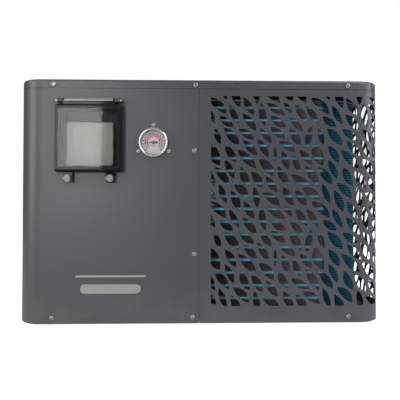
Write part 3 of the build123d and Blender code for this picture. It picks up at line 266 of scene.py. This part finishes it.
@dataclass(frozen=True)
class Finish:
    """A surface finish: colour, gloss, relief and unevenness."""

    name: str
    color: tuple[float, float, float]
    roughness: float
    grain: Grain = Grain.MOULDED
    metallic: float = 0.0
    relief: float = 0.05
    uneven: float = 0.12
    coat: float = 0.0
    alpha: float = 1.0
    dust: float = 0.0
    specular: float = 0.5
    streak: float = 0.0
    ripple_shade: float = 0.0
    painted_border: float = 0.0

    def material(self) -> bpy.types.Material:
        """Build the material, once.

        Returns:
            The node-based material of this finish.
        """
        found = bpy.data.materials.get(self.name)
        if found is not None:
            return found
        material = bpy.data.materials.new(self.name)
        material.use_nodes = True
        net = ShaderTree(material.node_tree)
        shader = material.node_tree.nodes["Principled BSDF"]
        shader.inputs["Metallic"].default_value = self.metallic
        shader.inputs["Coat Weight"].default_value = self.coat
        shader.inputs["Coat Roughness"].default_value = 0.05
        shader.inputs["Alpha"].default_value = self.alpha
        shader.inputs["Specular IOR Level"].default_value = self.specular
        place = net.add("ShaderNodeTexCoord")
        stretch, detail = GRAIN_SHAPE[self.grain]
        mapping = net.add("ShaderNodeMapping")
        mapping.inputs["Scale"].default_value = stretch
        net.wire(place.outputs["Object"], mapping.inputs["Vector"])
        relief = net.add("ShaderNodeGroup", node_tree=bpy.data.node_groups["relief"])
        relief.inputs["Detail"].default_value = detail
        net.wire(mapping.outputs["Vector"], relief.inputs["Vector"])
        tone = net.add("ShaderNodeMix", data_type="RGBA")
        tone.inputs["A"].default_value = (*(c * (1 - self.uneven) for c in self.color), 1)
        tone.inputs["B"].default_value = (*(min(1, c * (1 + self.uneven)) for c in self.color), 1)
        net.wire(relief.outputs["Cloud"], tone.inputs["Factor"])
        color = tone.outputs["Result"]
        # Dust, painted ripple shade on the fins and edge wear are mixed over the base colour in turn.
        covers = (
            ("dust", self.dust, DUST_COLOR),
            ("fin_ripple_shade", self.ripple_shade, RIPPLE_SHADE_COLOR),
            ("edge_wear", self.streak, SCUFF_COLOR),
        )
        for group, amount, tint in covers:
            if amount > 0:
                mask = net.add("ShaderNodeGroup", node_tree=bpy.data.node_groups[group])
                net.wire(place.outputs["Object"], mask.inputs["Vector"])
                cover = net.add("ShaderNodeMix", data_type="RGBA")
                cover.inputs["B"].default_value = tint
                net.wire(net.math("MULTIPLY", mask.outputs[0], amount), cover.inputs["Factor"])
                net.wire(color, cover.inputs["A"])
                color = cover.outputs["Result"]
        # Past the half width the window turns opaque, dark and coatless: a painted dark reflection standing
        # in for the chamfer's shade.
        if self.painted_border > 0:
            edge = net.add("ShaderNodeGroup", node_tree=bpy.data.node_groups["window_painted_dark_border"])
            net.wire(place.outputs["Object"], edge.inputs["Vector"])
            edge.inputs["Half Width"].default_value = self.painted_border
            net.wire(net.math("MAXIMUM", edge.outputs["Border"], self.alpha), shader.inputs["Alpha"])
            clear = net.math("SUBTRACT", 1.0, edge.outputs["Border"])
            net.wire(net.math("MULTIPLY", clear, self.coat), shader.inputs["Coat Weight"])
        net.wire(color, shader.inputs["Base Color"])
        rough = net.add("ShaderNodeMapRange")
        rough.inputs["To Min"].default_value = max(0.02, self.roughness * 0.85)
        rough.inputs["To Max"].default_value = min(1.0, self.roughness * 1.15)
        net.wire(relief.outputs["Cloud"], rough.inputs["Value"])
        net.wire(rough.outputs["Result"], shader.inputs["Roughness"])
        bump = net.add("ShaderNodeBump")
        bump.inputs["Strength"].default_value = self.relief
        bump.inputs["Distance"].default_value = 0.0002
        net.wire(relief.outputs["Relief"], bump.inputs["Height"])
        net.wire(bump.outputs["Normal"], shader.inputs["Normal"])
        return material


CASING = Finish("casing_powder_coat", (0.025, 0.028, 0.032), 0.40, Grain.ORANGE_PEEL, relief=0.14,
                dust=0.12, streak=0.30)
GALVANISED = Finish("galvanised_sheet", (0.50, 0.51, 0.52), 0.38, Grain.SMOOTH, 0.9, 0.05, 0.22)
STAINLESS = Finish("stainless_fasteners", (0.24, 0.24, 0.25), 0.38, Grain.BRUSHED, 1.0, 0.08)
COPPER = Finish("drawn_copper", (0.72, 0.36, 0.22), 0.30, Grain.BRUSHED, 1.0, 0.08, 0.2)
BRASS = Finish("machined_brass", (0.72, 0.56, 0.28), 0.30, Grain.BRUSHED, 1.0, 0.08)
TITANIUM = Finish("titanium_tube", (0.48, 0.46, 0.44), 0.35, Grain.BRUSHED, 1.0, 0.06)
BLACK_PAINT = Finish("black_enamel", (0.018, 0.018, 0.018), 0.30, Grain.ORANGE_PEEL, relief=0.15)
BLACK_PLASTIC = Finish("black_textured_plastic", (0.022, 0.022, 0.023), 0.52, Grain.MOULDED, relief=0.25)
LATCH_METAL = Finish("grey_latch_metal", (0.11, 0.11, 0.11), 0.36, Grain.MOULDED, 0.4, 0.15)
RUBBER = Finish("foam_rubber", (0.015, 0.015, 0.015), 0.80, Grain.MOULDED, relief=0.4)
# Smoked window; its outer band is a painted dark reflection of the chamfer.
SMOKED = Finish("smoked_polycarbonate", (0.010, 0.010, 0.011), 0.07, Grain.SMOOTH, relief=0.02, uneven=0.05,
                coat=0.9, alpha=0.20, specular=0.08, painted_border=0.0590)
CONTROLLER = Finish("controller_shell", (0.32, 0.32, 0.30), 0.45, Grain.MOULDED, relief=0.12)
SCREEN = Finish("unlit_display", (0.27, 0.28, 0.26), 0.30, Grain.SMOOTH, relief=0.01)
CHROME = Finish("polished_chrome", (0.46, 0.45, 0.46), 0.18, Grain.SMOOTH, 1.0, 0.01, 0.04)
SLEEVE = Finish("satin_sleeve", (0.16, 0.16, 0.15), 0.35, Grain.BRUSHED, 0.6, 0.05)
BADGE = Finish("satin_badge", (0.24, 0.235, 0.23), 0.34, Grain.BRUSHED, 0.9, 0.08)
DIAL = Finish("dial_enamel", (0.33, 0.33, 0.33), 0.45, Grain.SMOOTH, relief=0.02, uneven=0.03)
NEEDLE = Finish("pointer_paint", (0.012, 0.012, 0.012), 0.40, Grain.SMOOTH, relief=0.02)
LENS = Finish("clear_gauge_glass", (0.10, 0.10, 0.10), 0.03, Grain.SMOOTH, relief=0.0, uneven=0.0, alpha=0.04)
PVC_WHITE = Finish("white_pvc", (0.72, 0.72, 0.70), 0.35, Grain.SMOOTH, relief=0.04, uneven=0.04)
PVC_GREY = Finish("grey_pvc", (0.11, 0.115, 0.12), 0.35, Grain.MOULDED, relief=0.08)
BOARD = Finish("solder_mask", (0.02, 0.12, 0.05), 0.30, Grain.SMOOTH, relief=0.05)
# Front-leg fins get a paler brown-grey than the blue side and bend fins.
FIN_FRONT = Finish("coated_fins_front_brown_grey", (0.46, 0.40, 0.42), 0.50, Grain.BRUSHED, 0.1, 0.1, 0.30,
                   ripple_shade=0.45)
FIN_BLUE = Finish("coated_fins", (0.045, 0.30, 0.42), 0.38, Grain.BRUSHED, 0.2, 0.1, 0.25,
                  ripple_shade=0.85)
# Bright cyan of the tube collars: partly their blue coating, partly a painted highlight on their fronts.
COLLAR_HIGHLIGHT_BLUE = Finish("coated_collars_painted_highlight", (0.09, 0.52, 0.80), 0.40, Grain.BRUSHED, 0.1, 0.05, 0.2)
RED_PRINT = Finish("red_dial_print", (0.50, 0.015, 0.03), 0.60, Grain.SMOOTH, relief=0.01)
GREEN_PRINT = Finish("green_dial_print", (0.03, 0.25, 0.08), 0.60, Grain.SMOOTH, relief=0.01)
DISPLAY_MARK = Finish("unlit_segments", (0.19, 0.20, 0.185), 0.30, Grain.SMOOTH, relief=0.01)
BLACK_PRINT = Finish("black_dial_print", (0.02, 0.02, 0.02), 0.60, Grain.SMOOTH, relief=0.01)

NODE_FINISHES = {
    CASING: ("base_pan", "top_cover", "control_panel", "grille_panel", "rear_service_panel",
             "rear_fan_panel", "fan_guard"),
    GALVANISED: ("base_rails", "divider_panel", "evaporator_end_plates", "fan_motor_bracket",
                 "electrical_box", "electrical_box_lid"),
    STAINLESS: ("casing_screws", "fan_shaft", "fan_hub_nut", "compressor_bolts", "lid_hinge_pin",
                "gauge_screws"),
    COPPER: ("evaporator_tubes", "coil_header", "filter_drier", "refrigerant_pipes"),
    BRASS: ("four_way_valve", "expansion_valve"),
    TITANIUM: ("titanium_coil",),
    BLACK_PAINT: ("fan_motor", "compressor", "accumulator"),
    BLACK_PLASTIC: ("drain_spout", "fan_blade", "fan_shroud", "four_way_valve_coil", "flow_switch",
                    "terminal_block", "cable_glands", "control_box_base"),
    LATCH_METAL: ("latch_left", "latch_right"),
    RUBBER: ("compressor_grommets", "control_box_gasket"),
    SMOKED: ("control_lid",),
    CONTROLLER: ("controller_body",),
    SCREEN: ("controller_screen",),
    CHROME: ("gauge_case", "gauge_bezel"),
    BADGE: ("nameplate",),
    DIAL: ("gauge_dial",),
    NEEDLE: ("gauge_needle",),
    LENS: ("gauge_lens",),
    PVC_WHITE: ("water_inlet_pipe", "water_outlet_pipe", "inlet_union_tail", "outlet_union_tail"),
    PVC_GREY: ("inlet_union_nut", "outlet_union_nut", "heat_exchanger_shell", "heat_exchanger_caps"),
    BOARD: ("main_circuit_board",),
    FIN_BLUE: ("evaporator_fins",),
}


def paint(piece: bpy.types.Object, finish: Finish) -> None:
    """Give a piece one finish all over."""
    piece.data.materials.clear()
    piece.data.materials.append(finish.material())


def deselect() -> None:
    """Leave nothing selected, so that the next operator acts on its own piece only."""
    if bpy.context.object is not None and bpy.context.object.mode != "OBJECT":
        bpy.ops.object.mode_set(mode="OBJECT")
    bpy.ops.object.select_all(action="DESELECT")


def settle(piece: bpy.types.Object) -> None:
    """Move a piece's place into its mesh."""
    deselect()
    piece.select_set(True)
    bpy.context.view_layer.objects.active = piece
    bpy.ops.object.transform_apply(location=True, rotation=True, scale=True)


def join(pieces: list[bpy.types.Object], name: str) -> bpy.types.Object:
    """Join pieces into one mesh.

    Args:
        pieces: The objects to join.
        name: The name of the result.

    Returns:
        The joined object, its place in its mesh.
    """
    deselect()
    for piece in pieces:
        piece.select_set(True)
    bpy.context.view_layer.objects.active = pieces[0]
    if len(pieces) > 1:
        bpy.ops.object.join()
    whole = bpy.context.object
    whole.name = name
    settle(whole)
    return whole


def smooth(piece: bpy.types.Object, degrees: float = 35.0) -> None:
    """Shade a piece smooth except over sharp edges."""
    deselect()
    piece.select_set(True)
    bpy.context.view_layer.objects.active = piece
    bpy.ops.object.shade_smooth_by_angle(angle=math.radians(degrees))


def corners(node: str) -> tuple[Vector, Vector]:
    """Low and high corners of a carried-over node."""
    low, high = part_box(node)
    return Vector(low), Vector(high)


def cylinder(name: str, radius: float, depth: float, place: Vector, axis: str = "Y", sides: int = 48,
             bevel: float = 0.1 * MM) -> bpy.types.Object:
    """Add a round bar with eased ends.

    Args:
        name: The object's name.
        radius: Radius in metres.
        depth: Length in metres.
        place: Its centre.
        axis: The axis that it lies along.
        sides: Number of side faces.
        bevel: Width of the easing on its two end rims.

    Returns:
        The new object.
    """
    turn = {"X": (0, math.pi / 2, 0), "Y": (math.pi / 2, 0, 0), "Z": (0, 0, 0)}[axis]
    deselect()
    bpy.ops.mesh.primitive_cylinder_add(
        vertices=sides, radius=radius, depth=depth, location=place, rotation=turn
    )
    bar = bpy.context.object
    bar.name = name
    bpy.ops.object.mode_set(mode="EDIT")
    bpy.ops.mesh.select_all(action="DESELECT")
    bpy.ops.object.mode_set(mode="OBJECT")
    for face in bar.data.polygons:
        face.select = len(face.vertices) == sides
    bpy.ops.object.mode_set(mode="EDIT")
    bpy.ops.mesh.region_to_loop()
    bpy.ops.mesh.bevel(offset=bevel, segments=2)
    bpy.ops.object.mode_set(mode="OBJECT")
    return bar


def slab(name: str, low: tuple, high: tuple, bevel: float = 0.0) -> bpy.types.Object:
    """Add a block between two corners, its edges bevelled if asked.

    Args:
        name: The object's name.
        low: Low corner.
        high: High corner.
        bevel: Width of the bevel in metres.

    Returns:
        The new object.
    """
    deselect()
    bpy.ops.mesh.primitive_cube_add(size=1, location=[(a + b) / 2 for a, b in zip(low, high)])
    piece = bpy.context.object
    piece.name = name
    piece.scale = [b - a for a, b in zip(low, high)]
    bpy.ops.object.transform_apply(location=False, rotation=False, scale=True)
    if bevel > 0:
        bpy.ops.object.mode_set(mode="EDIT")
        bpy.ops.mesh.select_all(action="SELECT")
        bpy.ops.mesh.bevel(offset=bevel, segments=2)
        bpy.ops.object.mode_set(mode="OBJECT")
    return piece


def repeat(piece: bpy.types.Object, count: int, step: tuple, centre: bpy.types.Object | None = None) -> None:
    """Repeat a piece in a row, or round a centre, and make the copies real.

    Args:
        piece: The piece to repeat.
        count: How many there are in the end.
        step: Offset between two neighbours, used when there is no centre.
        centre: Object whose place and turn relative to the piece give each step.
    """
    array = piece.modifiers.new("repeat", "ARRAY")
    array.count = count
    array.use_relative_offset = False
    if centre is None:
        array.use_constant_offset = True
        array.constant_offset_displace = step
    else:
        array.use_object_offset = True
        array.offset_object = centre
    deselect()
    piece.select_set(True)
    bpy.context.view_layer.objects.active = piece
    bpy.ops.object.modifier_apply(modifier=array.name)


@dataclass
class FinnedCoil:
    """Thin rippled fins in place of the plain fin block, and slim bright bars ahead of its front tubes that
    stand for the tube collars with a painted highlight.
    """

    pitch: float = 2.6 * MM
    ripple: float = 0.55 * MM
    ripple_rows: int = 80
    bend_steps: int = 52
    outer_r: float = 92.0 * MM
    depth: float = 44.0 * MM
    collar_highlight_r: float = 2.9 * MM
    row_inset: float = 4.5 * MM
    tube_pitch: float = 27.2 * MM
    tube_z0: float = 45.0 * MM
    tube_count: int = 16
    end_gap: float = 2.0 * MM
    collar_highlight_sides: int = 12
    collar_highlight_bevel: float = 0.4 * MM

    def build(self) -> None:
        """Model the fins and the bars inside the block's box."""
        self.low, self.high = corners("evaporator_fins")
        self.bend = Vector((self.high.x - self.outer_r, self.low.y + self.outer_r, 0))
        front = self.front_fins()
        side = self.side_fins()
        bend = self.bend_fins()
        for piece, finish in ((front, FIN_FRONT), (side, FIN_BLUE), (bend, FIN_BLUE)):
            paint(piece, finish)
            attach(piece, "cabinet")
            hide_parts("evaporator_fins")
            LOG.info("%s: %d faces", piece.name, len(piece.data.polygons))
        collar_highlights = self.collar_highlights()
        paint(collar_highlights, COLLAR_HIGHLIGHT_BLUE)
        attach(collar_highlights, "cabinet")
        LOG.info("%s: %d faces", collar_highlights.name, len(collar_highlights.data.polygons))

    def fin(self, name: str) -> bpy.types.Object:
        """Model one fin standing on its edge at the origin, its face across X and rippled along Z."""
        height = self.high.z - self.low.z
        deselect()
        bpy.ops.mesh.primitive_grid_add(x_subdivisions=1, y_subdivisions=self.ripple_rows * 2, size=1)
        fin = bpy.context.object
        fin.name = name
        fin.scale = (self.depth, height, 1)
        fin.rotation_euler = (math.pi / 2, 0, math.pi / 2)
        settle(fin)
        deselect()
        fin.select_set(True)
        bpy.context.view_layer.objects.active = fin
        step = height / (self.ripple_rows * 2)
        for vertex in fin.data.vertices:
            row = round((vertex.co.z + height / 2) / step)
            vertex.co.y += self.ripple * (1 if row % 2 else -1)
        return fin

    def front_fins(self) -> bpy.types.Object:
        """Fins of the front leg."""
        fin = self.fin("fins_front")
        x0 = self.low.x + self.pitch
        count = int((self.bend.x - x0) / self.pitch)
        repeat(fin, count, (self.pitch, 0, 0))
        fin.location = (x0, self.low.y + self.depth / 2, (self.low.z + self.high.z) / 2)
        return join([fin], "fins_front")

    def side_fins(self) -> bpy.types.Object:
        """Fins of the side leg."""
        fin = self.fin("fins_side")
        count = int((self.high.y - self.bend.y) / self.pitch)
        repeat(fin, count, (self.pitch, 0, 0))
        fin.rotation_euler = (0, 0, math.pi / 2)
        fin.location = (self.high.x - self.depth / 2, self.bend.y, (self.low.z + self.high.z) / 2)
        return join([fin], "fins_side")

    def bend_fins(self) -> bpy.types.Object:
        """Fins that fan out round the bend."""
        fin = self.fin("fins_bend")
        fin.location = (0, -self.outer_r + self.depth / 2, 0)
        settle(fin)
        hub = bpy.data.objects.new("bend_hub", None)
        hub.rotation_euler = (0, 0, math.pi / 2 / self.bend_steps)
        bpy.context.scene.collection.objects.link(hub)
        repeat(fin, self.bend_steps, (0, 0, 0), hub)
        bpy.data.objects.remove(hub)
        fin.location = (self.bend.x, self.bend.y, (self.low.z + self.high.z) / 2)
        return join([fin], "fins_bend")

    def collar_highlights(self) -> bpy.types.Object:
        """Slim bright blue bars across the front leg, one ahead of each tube of the front row: the tube
        collars, made thin and bright as a painted highlight.
        """
        length = self.bend.x - self.low.x - 2 * self.end_gap
        x = self.low.x + self.end_gap + length / 2
        place = Vector((x, self.low.y + self.row_inset, self.tube_z0))
        highlight_bar = cylinder(
            "tube_collar_highlights", self.collar_highlight_r, length, place, "X", self.collar_highlight_sides, self.collar_highlight_bevel
        )
        settle(highlight_bar)
        repeat(highlight_bar, self.tube_count, (0, 0, self.tube_pitch))
        smooth(highlight_bar)
        return highlight_bar


@dataclass
class GaugeFace:
    """Printed scale of the pressure gauge."""

    print_lift: float = 0.12 * MM
    start: float = 225.0
    sweep: float = 270.0
    long_extra: float = 1.2

    def build(self) -> None:
        """Print the ticks, the coloured arcs and the bars that stand for lettering."""
        low, high = corners("gauge_bezel")
        self.centre = Vector(((low.x + high.x) / 2, 0, (low.z + high.z) / 2))
        end = self.start - self.sweep
        self.face_y = CAD_FRONT - self.print_lift
        outer = self.ticks("scale_outer", count=16, inner=20.2, outer=23.8, width=1.5, long_every=3)
        minor = self.ticks("scale_minor", count=46, inner=22.2, outer=23.8, width=0.5)
        green = self.ticks("scale_green", count=8, inner=17.5, outer=19.8, width=1.4, last=0.5)
        self.finish(outer, BLACK_PRINT)
        self.finish(minor, BLACK_PRINT)
        self.finish(green, GREEN_PRINT)
        self.finish(self.arc("scale_red", inner=12.2, outer=14.5, start=self.start, end=end), RED_PRINT)
        ring = self.arc("scale_black_ring", inner=16.3, outer=17.5, start=self.start, end=end)
        self.finish(ring, BLACK_PRINT)
        red_ticks = self.ticks("scale_red_ticks", count=19, inner=10.8, outer=12.6, width=0.6)
        self.finish(red_ticks, RED_PRINT)
        self.finish(self.legend(), BLACK_PRINT)

    def finish(self, piece: bpy.types.Object, finish: Finish) -> None:
        """Paint a printed mark and fix it to the cabinet."""
        paint(piece, finish)
        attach(piece, "cabinet")
        LOG.info("%s: %d faces", piece.name, len(piece.data.polygons))

    def ticks(self, name: str, count: int, inner: float, outer: float, width: float, long_every: int = 1,
              last: float = 1.0) -> bpy.types.Object:
        """Row of radial ticks.

        Args:
            name: The piece's name.
            count: Number of ticks.
            inner: Inner radius in millimetres.
            outer: Outer radius in millimetres.
            width: Tick width in millimetres.
            long_every: Every so many ticks one is longer.
            last: Where the row ends on the scale, 0 to 1.

        Returns:
            The joined ticks.
        """
        pieces = []
        for i in range(count):
            reach = last * i / (count - 1)
            angle = math.radians(self.start - self.sweep * reach)
            near = inner - (self.long_extra if long_every > 1 and i % long_every == 0 else 0.0)
            middle = (near + outer) / 2 * MM
            place = self.centre + Vector((middle * math.cos(angle), 0, middle * math.sin(angle)))
            deselect()
            bpy.ops.mesh.primitive_plane_add(size=1, location=(place.x, self.face_y, place.z))
            tick = bpy.context.object
            tick.scale = ((outer - near) * MM, width * MM, 1)
            tick.rotation_euler = (math.pi / 2, -angle, 0)
            pieces.append(tick)
        return join(pieces, name)

    def arc(self, name: str, inner: float, outer: float, start: float, end: float) -> bpy.types.Object:
        """Flat printed ring segment.

        Args:
            name: The piece's name.
            inner: Inner radius in millimetres.
            outer: Outer radius in millimetres.
            start: Start angle in degrees.
            end: End angle in degrees.

        Returns:
            The printed arc.
        """
        deselect()
        place = (self.centre.x, self.face_y, self.centre.z)
        turn = (math.pi / 2, 0, 0)
        bpy.ops.mesh.primitive_circle_add(
            vertices=72, radius=outer * MM, fill_type="NGON", location=place, rotation=turn
        )
        ring = bpy.context.object
        settle(ring)
        bpy.ops.object.mode_set(mode="EDIT")
        bpy.ops.mesh.select_all(action="SELECT")
        bpy.ops.mesh.inset(thickness=(outer - inner) * MM)
        bpy.ops.mesh.select_all(action="DESELECT")
        bpy.ops.object.mode_set(mode="OBJECT")
        for face in ring.data.polygons:
            angle = math.degrees(math.atan2(face.center.z - self.centre.z, face.center.x - self.centre.x))
            in_gap = start - 360 < angle < end
            face.select = in_gap or len(face.vertices) > 4
        bpy.ops.object.mode_set(mode="EDIT")
        bpy.ops.mesh.delete(type="FACE")
        bpy.ops.object.mode_set(mode="OBJECT")
        return join([ring], name)

    def legend(self) -> bpy.types.Object:
        """Short bars below the pivot in place of the maker's lettering."""
        pieces = []
        for width, drop in ((7.0, 7.5), (4.6, 9.4)):
            x0 = self.centre.x - width / 2 * MM
            z0 = self.centre.z - drop * MM
            low = (x0, self.face_y, z0)
            high = (x0 + width * MM, self.face_y + 0.05 * MM, z0 + 0.8 * MM)
            pieces.append(slab("legend", low, high))
        return join(pieces, "dial_legend")


@dataclass
class HingeSleeve:
    """Satin sleeve round the hinge pin, made as a solid bar that shares the pin's space."""

    radius: float = 5.2 * MM
    half_length: float = 49.0 * MM
    sides: int = 40
    bevel: float = 0.6 * MM

    def build(self) -> None:
        """Model the sleeve on the hinge's axis."""
        low, high = corners("lid_hinge_pin")
        axis = (low + high) / 2
        length = 2 * self.half_length
        sleeve = cylinder("hinge_sleeve", self.radius, length, axis, "X", self.sides, self.bevel)
        settle(sleeve)
        smooth(sleeve)
        paint(sleeve, SLEEVE)
        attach(sleeve, "lid")
        LOG.info("%s: %d faces", sleeve.name, len(sleeve.data.polygons))


@dataclass
class ControllerFace:
    """Display marks and key symbols of the controller, in millimetres."""

    digit_count: int = 3
    digit_left: float = -24.0
    digit_pitch: float = 17.0
    digit_rise: float = 9.0
    digit_width: float = 10.0
    digit_height: float = 22.0
    segment_width: float = 1.6
    segment_depth: float = 0.1
    screen_lift: float = 0.15
    key_count: int = 4
    key_left: float = -33.0
    key_pitch: float = 22.0
    key_z: float = 344.0
    key_radius: float = 1.8
    key_depth: float = 0.3
    key_sink: float = 0.05

    def build(self) -> None:
        """Model the display's digits and the key symbols."""
        low, high = corners("controller_screen")
        y = low.y - self.screen_lift * MM
        middle = (low.x + high.x) / 2
        pieces = []
        for i in range(self.digit_count):
            x0 = middle + (self.digit_left + i * self.digit_pitch) * MM
            pieces += self.digit(x0, low.z + self.digit_rise * MM, y)
        digits = join(pieces, "display_digits")
        paint(digits, DISPLAY_MARK)
        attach(digits, "cabinet")
        front = corners("controller_body")[0].y + self.key_sink * MM
        symbols = []
        for i in range(self.key_count):
            x = middle + (self.key_left + i * self.key_pitch) * MM
            place = Vector((x, front, self.key_z * MM))
            radius, depth = self.key_radius * MM, self.key_depth * MM
            symbols.append(cylinder("key_mark", radius, depth, place, "Y", 24))
        marks = join(symbols, "key_symbols")
        paint(marks, DIAL)
        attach(marks, "cabinet")

    def digit(self, x0: float, z0: float, y: float) -> list[bpy.types.Object]:
        """Seven-segment figure.

        Args:
            x0: Left edge.
            z0: Lower edge.
            y: Front surface.

        Returns:
            The segments.
        """
        wide, tall, bar = self.digit_width * MM, self.digit_height * MM, self.segment_width * MM
        raised = self.segment_depth * MM
        pieces = []
        for z in (z0, z0 + tall / 2, z0 + tall):
            low = (x0 + bar, y, z - bar / 2)
            high = (x0 + wide - bar, y + raised, z + bar / 2)
            pieces.append(slab("segment", low, high))
        for x in (x0, x0 + wide):
            for z in (z0 + bar, z0 + tall / 2 + bar):
                top = z + tall / 2 - 2 * bar
                pieces.append(slab("segment", (x - bar / 2, y, z), (x + bar / 2, y + raised, top)))
        return pieces


@dataclass
class Studio:
    """Floor, lights and camera."""

    eye: tuple[float, float, float] = (-0.0273, -1.140, 0.303)
    yaw: float = -1.472
    pitch: float = 1.021
    roll: float = -0.089
    sensor_width: float = 36.0
    lens: float = 41.364
    shift_y: float = -0.07725
    ambient: float = 0.22
    floor_glow: float = 0.85

    def build(self) -> None:
        """Set the floor, the lights and the camera."""
        self.floor()
        self.lights()
        self.camera()

    def floor(self) -> None:
        """Plain pale floor, brightened for camera rays only."""
        deselect()
        bpy.ops.mesh.primitive_plane_add(size=30, location=(0, 0, 0))
        floor = bpy.context.object
        floor.name = "floor"
        material = bpy.data.materials.new("pale_floor")
        material.use_nodes = True
        shader = material.node_tree.nodes["Principled BSDF"]
        shader.inputs["Base Color"].default_value = (0.80, 0.80, 0.80, 1)
        shader.inputs["Roughness"].default_value = 0.7
        shader.inputs["Specular IOR Level"].default_value = 0.2
        shader.inputs["Emission Color"].default_value = (1, 1, 1, 1)
        net = ShaderTree(material.node_tree)
        path = net.add("ShaderNodeLightPath")
        glow = net.math("MULTIPLY", path.outputs["Is Camera Ray"], self.floor_glow)
        net.wire(glow, shader.inputs["Emission Strength"])
        floor.data.materials.append(material)

    def panel(self, name: str, place: tuple, aim: tuple, size: tuple, power: float, tint: tuple) -> None:
        """Hang one soft light panel.

        Args:
            name: The light's name.
            place: Where it hangs.
            aim: The point that it faces.
            size: Width and height in metres.
            power: Power in watts.
            tint: Light colour.
        """
        data = bpy.data.lights.new(name, "AREA")
        data.shape = "RECTANGLE"
        data.size, data.size_y = size
        data.energy = power
        data.color = tint
        light = bpy.data.objects.new(name, data)
        light.location = place
        light.rotation_euler = (Vector(aim) - Vector(place)).to_track_quat("-Z", "Y").to_euler()
        bpy.context.scene.collection.objects.link(light)

    def lights(self) -> None:
        """Surroundings that are white to the camera but a dim light, and soft panels."""
        world = bpy.data.worlds.new("studio")
        bpy.context.scene.world = world
        world.use_nodes = True
        net = ShaderTree(world.node_tree)
        sky = world.node_tree.nodes["Background"]
        sky.inputs["Color"].default_value = (1, 1, 1, 1)
        path = net.add("ShaderNodeLightPath")
        level = net.add("ShaderNodeMapRange")
        level.inputs["To Min"].default_value = self.ambient
        level.inputs["To Max"].default_value = 1.0
        net.wire(path.outputs["Is Camera Ray"], level.inputs["Value"])
        net.wire(level.outputs["Result"], sky.inputs["Strength"])
        middle = (0, 0, 0.28)
        self.panel("key_left", (-1.7, -1.9, 1.9), (-0.2, 0, 0.45), (1.1, 1.1), 20, (1.0, 0.93, 0.80))
        self.panel("fill_right", (1.3, -1.4, 1.6), (0.35, -0.19, 0.45), (0.9, 0.9), 42, (0.91, 0.87, 1.0))
        self.panel("side_left", (-1.6, -0.9, 0.7), middle, (0.7, 1.2), 17, (1.0, 0.96, 0.90))
        self.panel("side_right", (1.7, -0.5, 0.8), middle, (0.7, 1.2), 12, (0.92, 0.90, 1.0))
        self.panel("top", (0, -0.2, 2.4), middle, (1.8, 1.2), 12, (1, 1, 1))
        window = (-0.23, -0.2, 0.38)
        self.panel("window_glow", (-0.72, -2.0, 0.60), window, (0.36, 0.9), 13, (1.0, 0.99, 0.95))
        bpy.context.scene.view_settings.view_transform = "Standard"

    def camera(self) -> None:
        """Camera a little above the unit's middle, nearly square to its front."""
        data = bpy.data.cameras.new("camera")
        data.sensor_fit = "HORIZONTAL"
        data.sensor_width = self.sensor_width
        data.lens = self.lens
        data.shift_y = self.shift_y
        camera = bpy.data.objects.new("camera", data)
        yaw = Matrix.Rotation(math.radians(self.yaw), 4, "Z")
        pitch = Matrix.Rotation(math.radians(self.pitch), 4, "X")
        roll = Matrix.Rotation(math.radians(self.roll), 4, "Y")
        upright = Matrix.Rotation(math.radians(90), 4, "X")
        camera.matrix_world = Matrix.Translation(self.eye) @ yaw @ pitch @ roll @ upright
        bpy.context.scene.collection.objects.link(camera)
        bpy.context.scene.camera = camera


def dress_nodes() -> None:
    """Give every carried-over node its finish."""
    for finish, names in NODE_FINISHES.items():
        for name in names:
            paint(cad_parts[name], finish)
            LOG.info("%s: %s", name, finish.name)


def main() -> None:
    """Build the studio and every piece."""
    logging.basicConfig(level=logging.INFO, format="%(message)s")
    Studio().build()
    relief_group()
    dust_group()
    wear_group()
    ripple_shade_group()
    painted_border_group()
    dress_nodes()
    FinnedCoil().build()
    GaugeFace().build()
    HingeSleeve().build()
    ControllerFace().build()


if __name__ == "__main__":
    main()
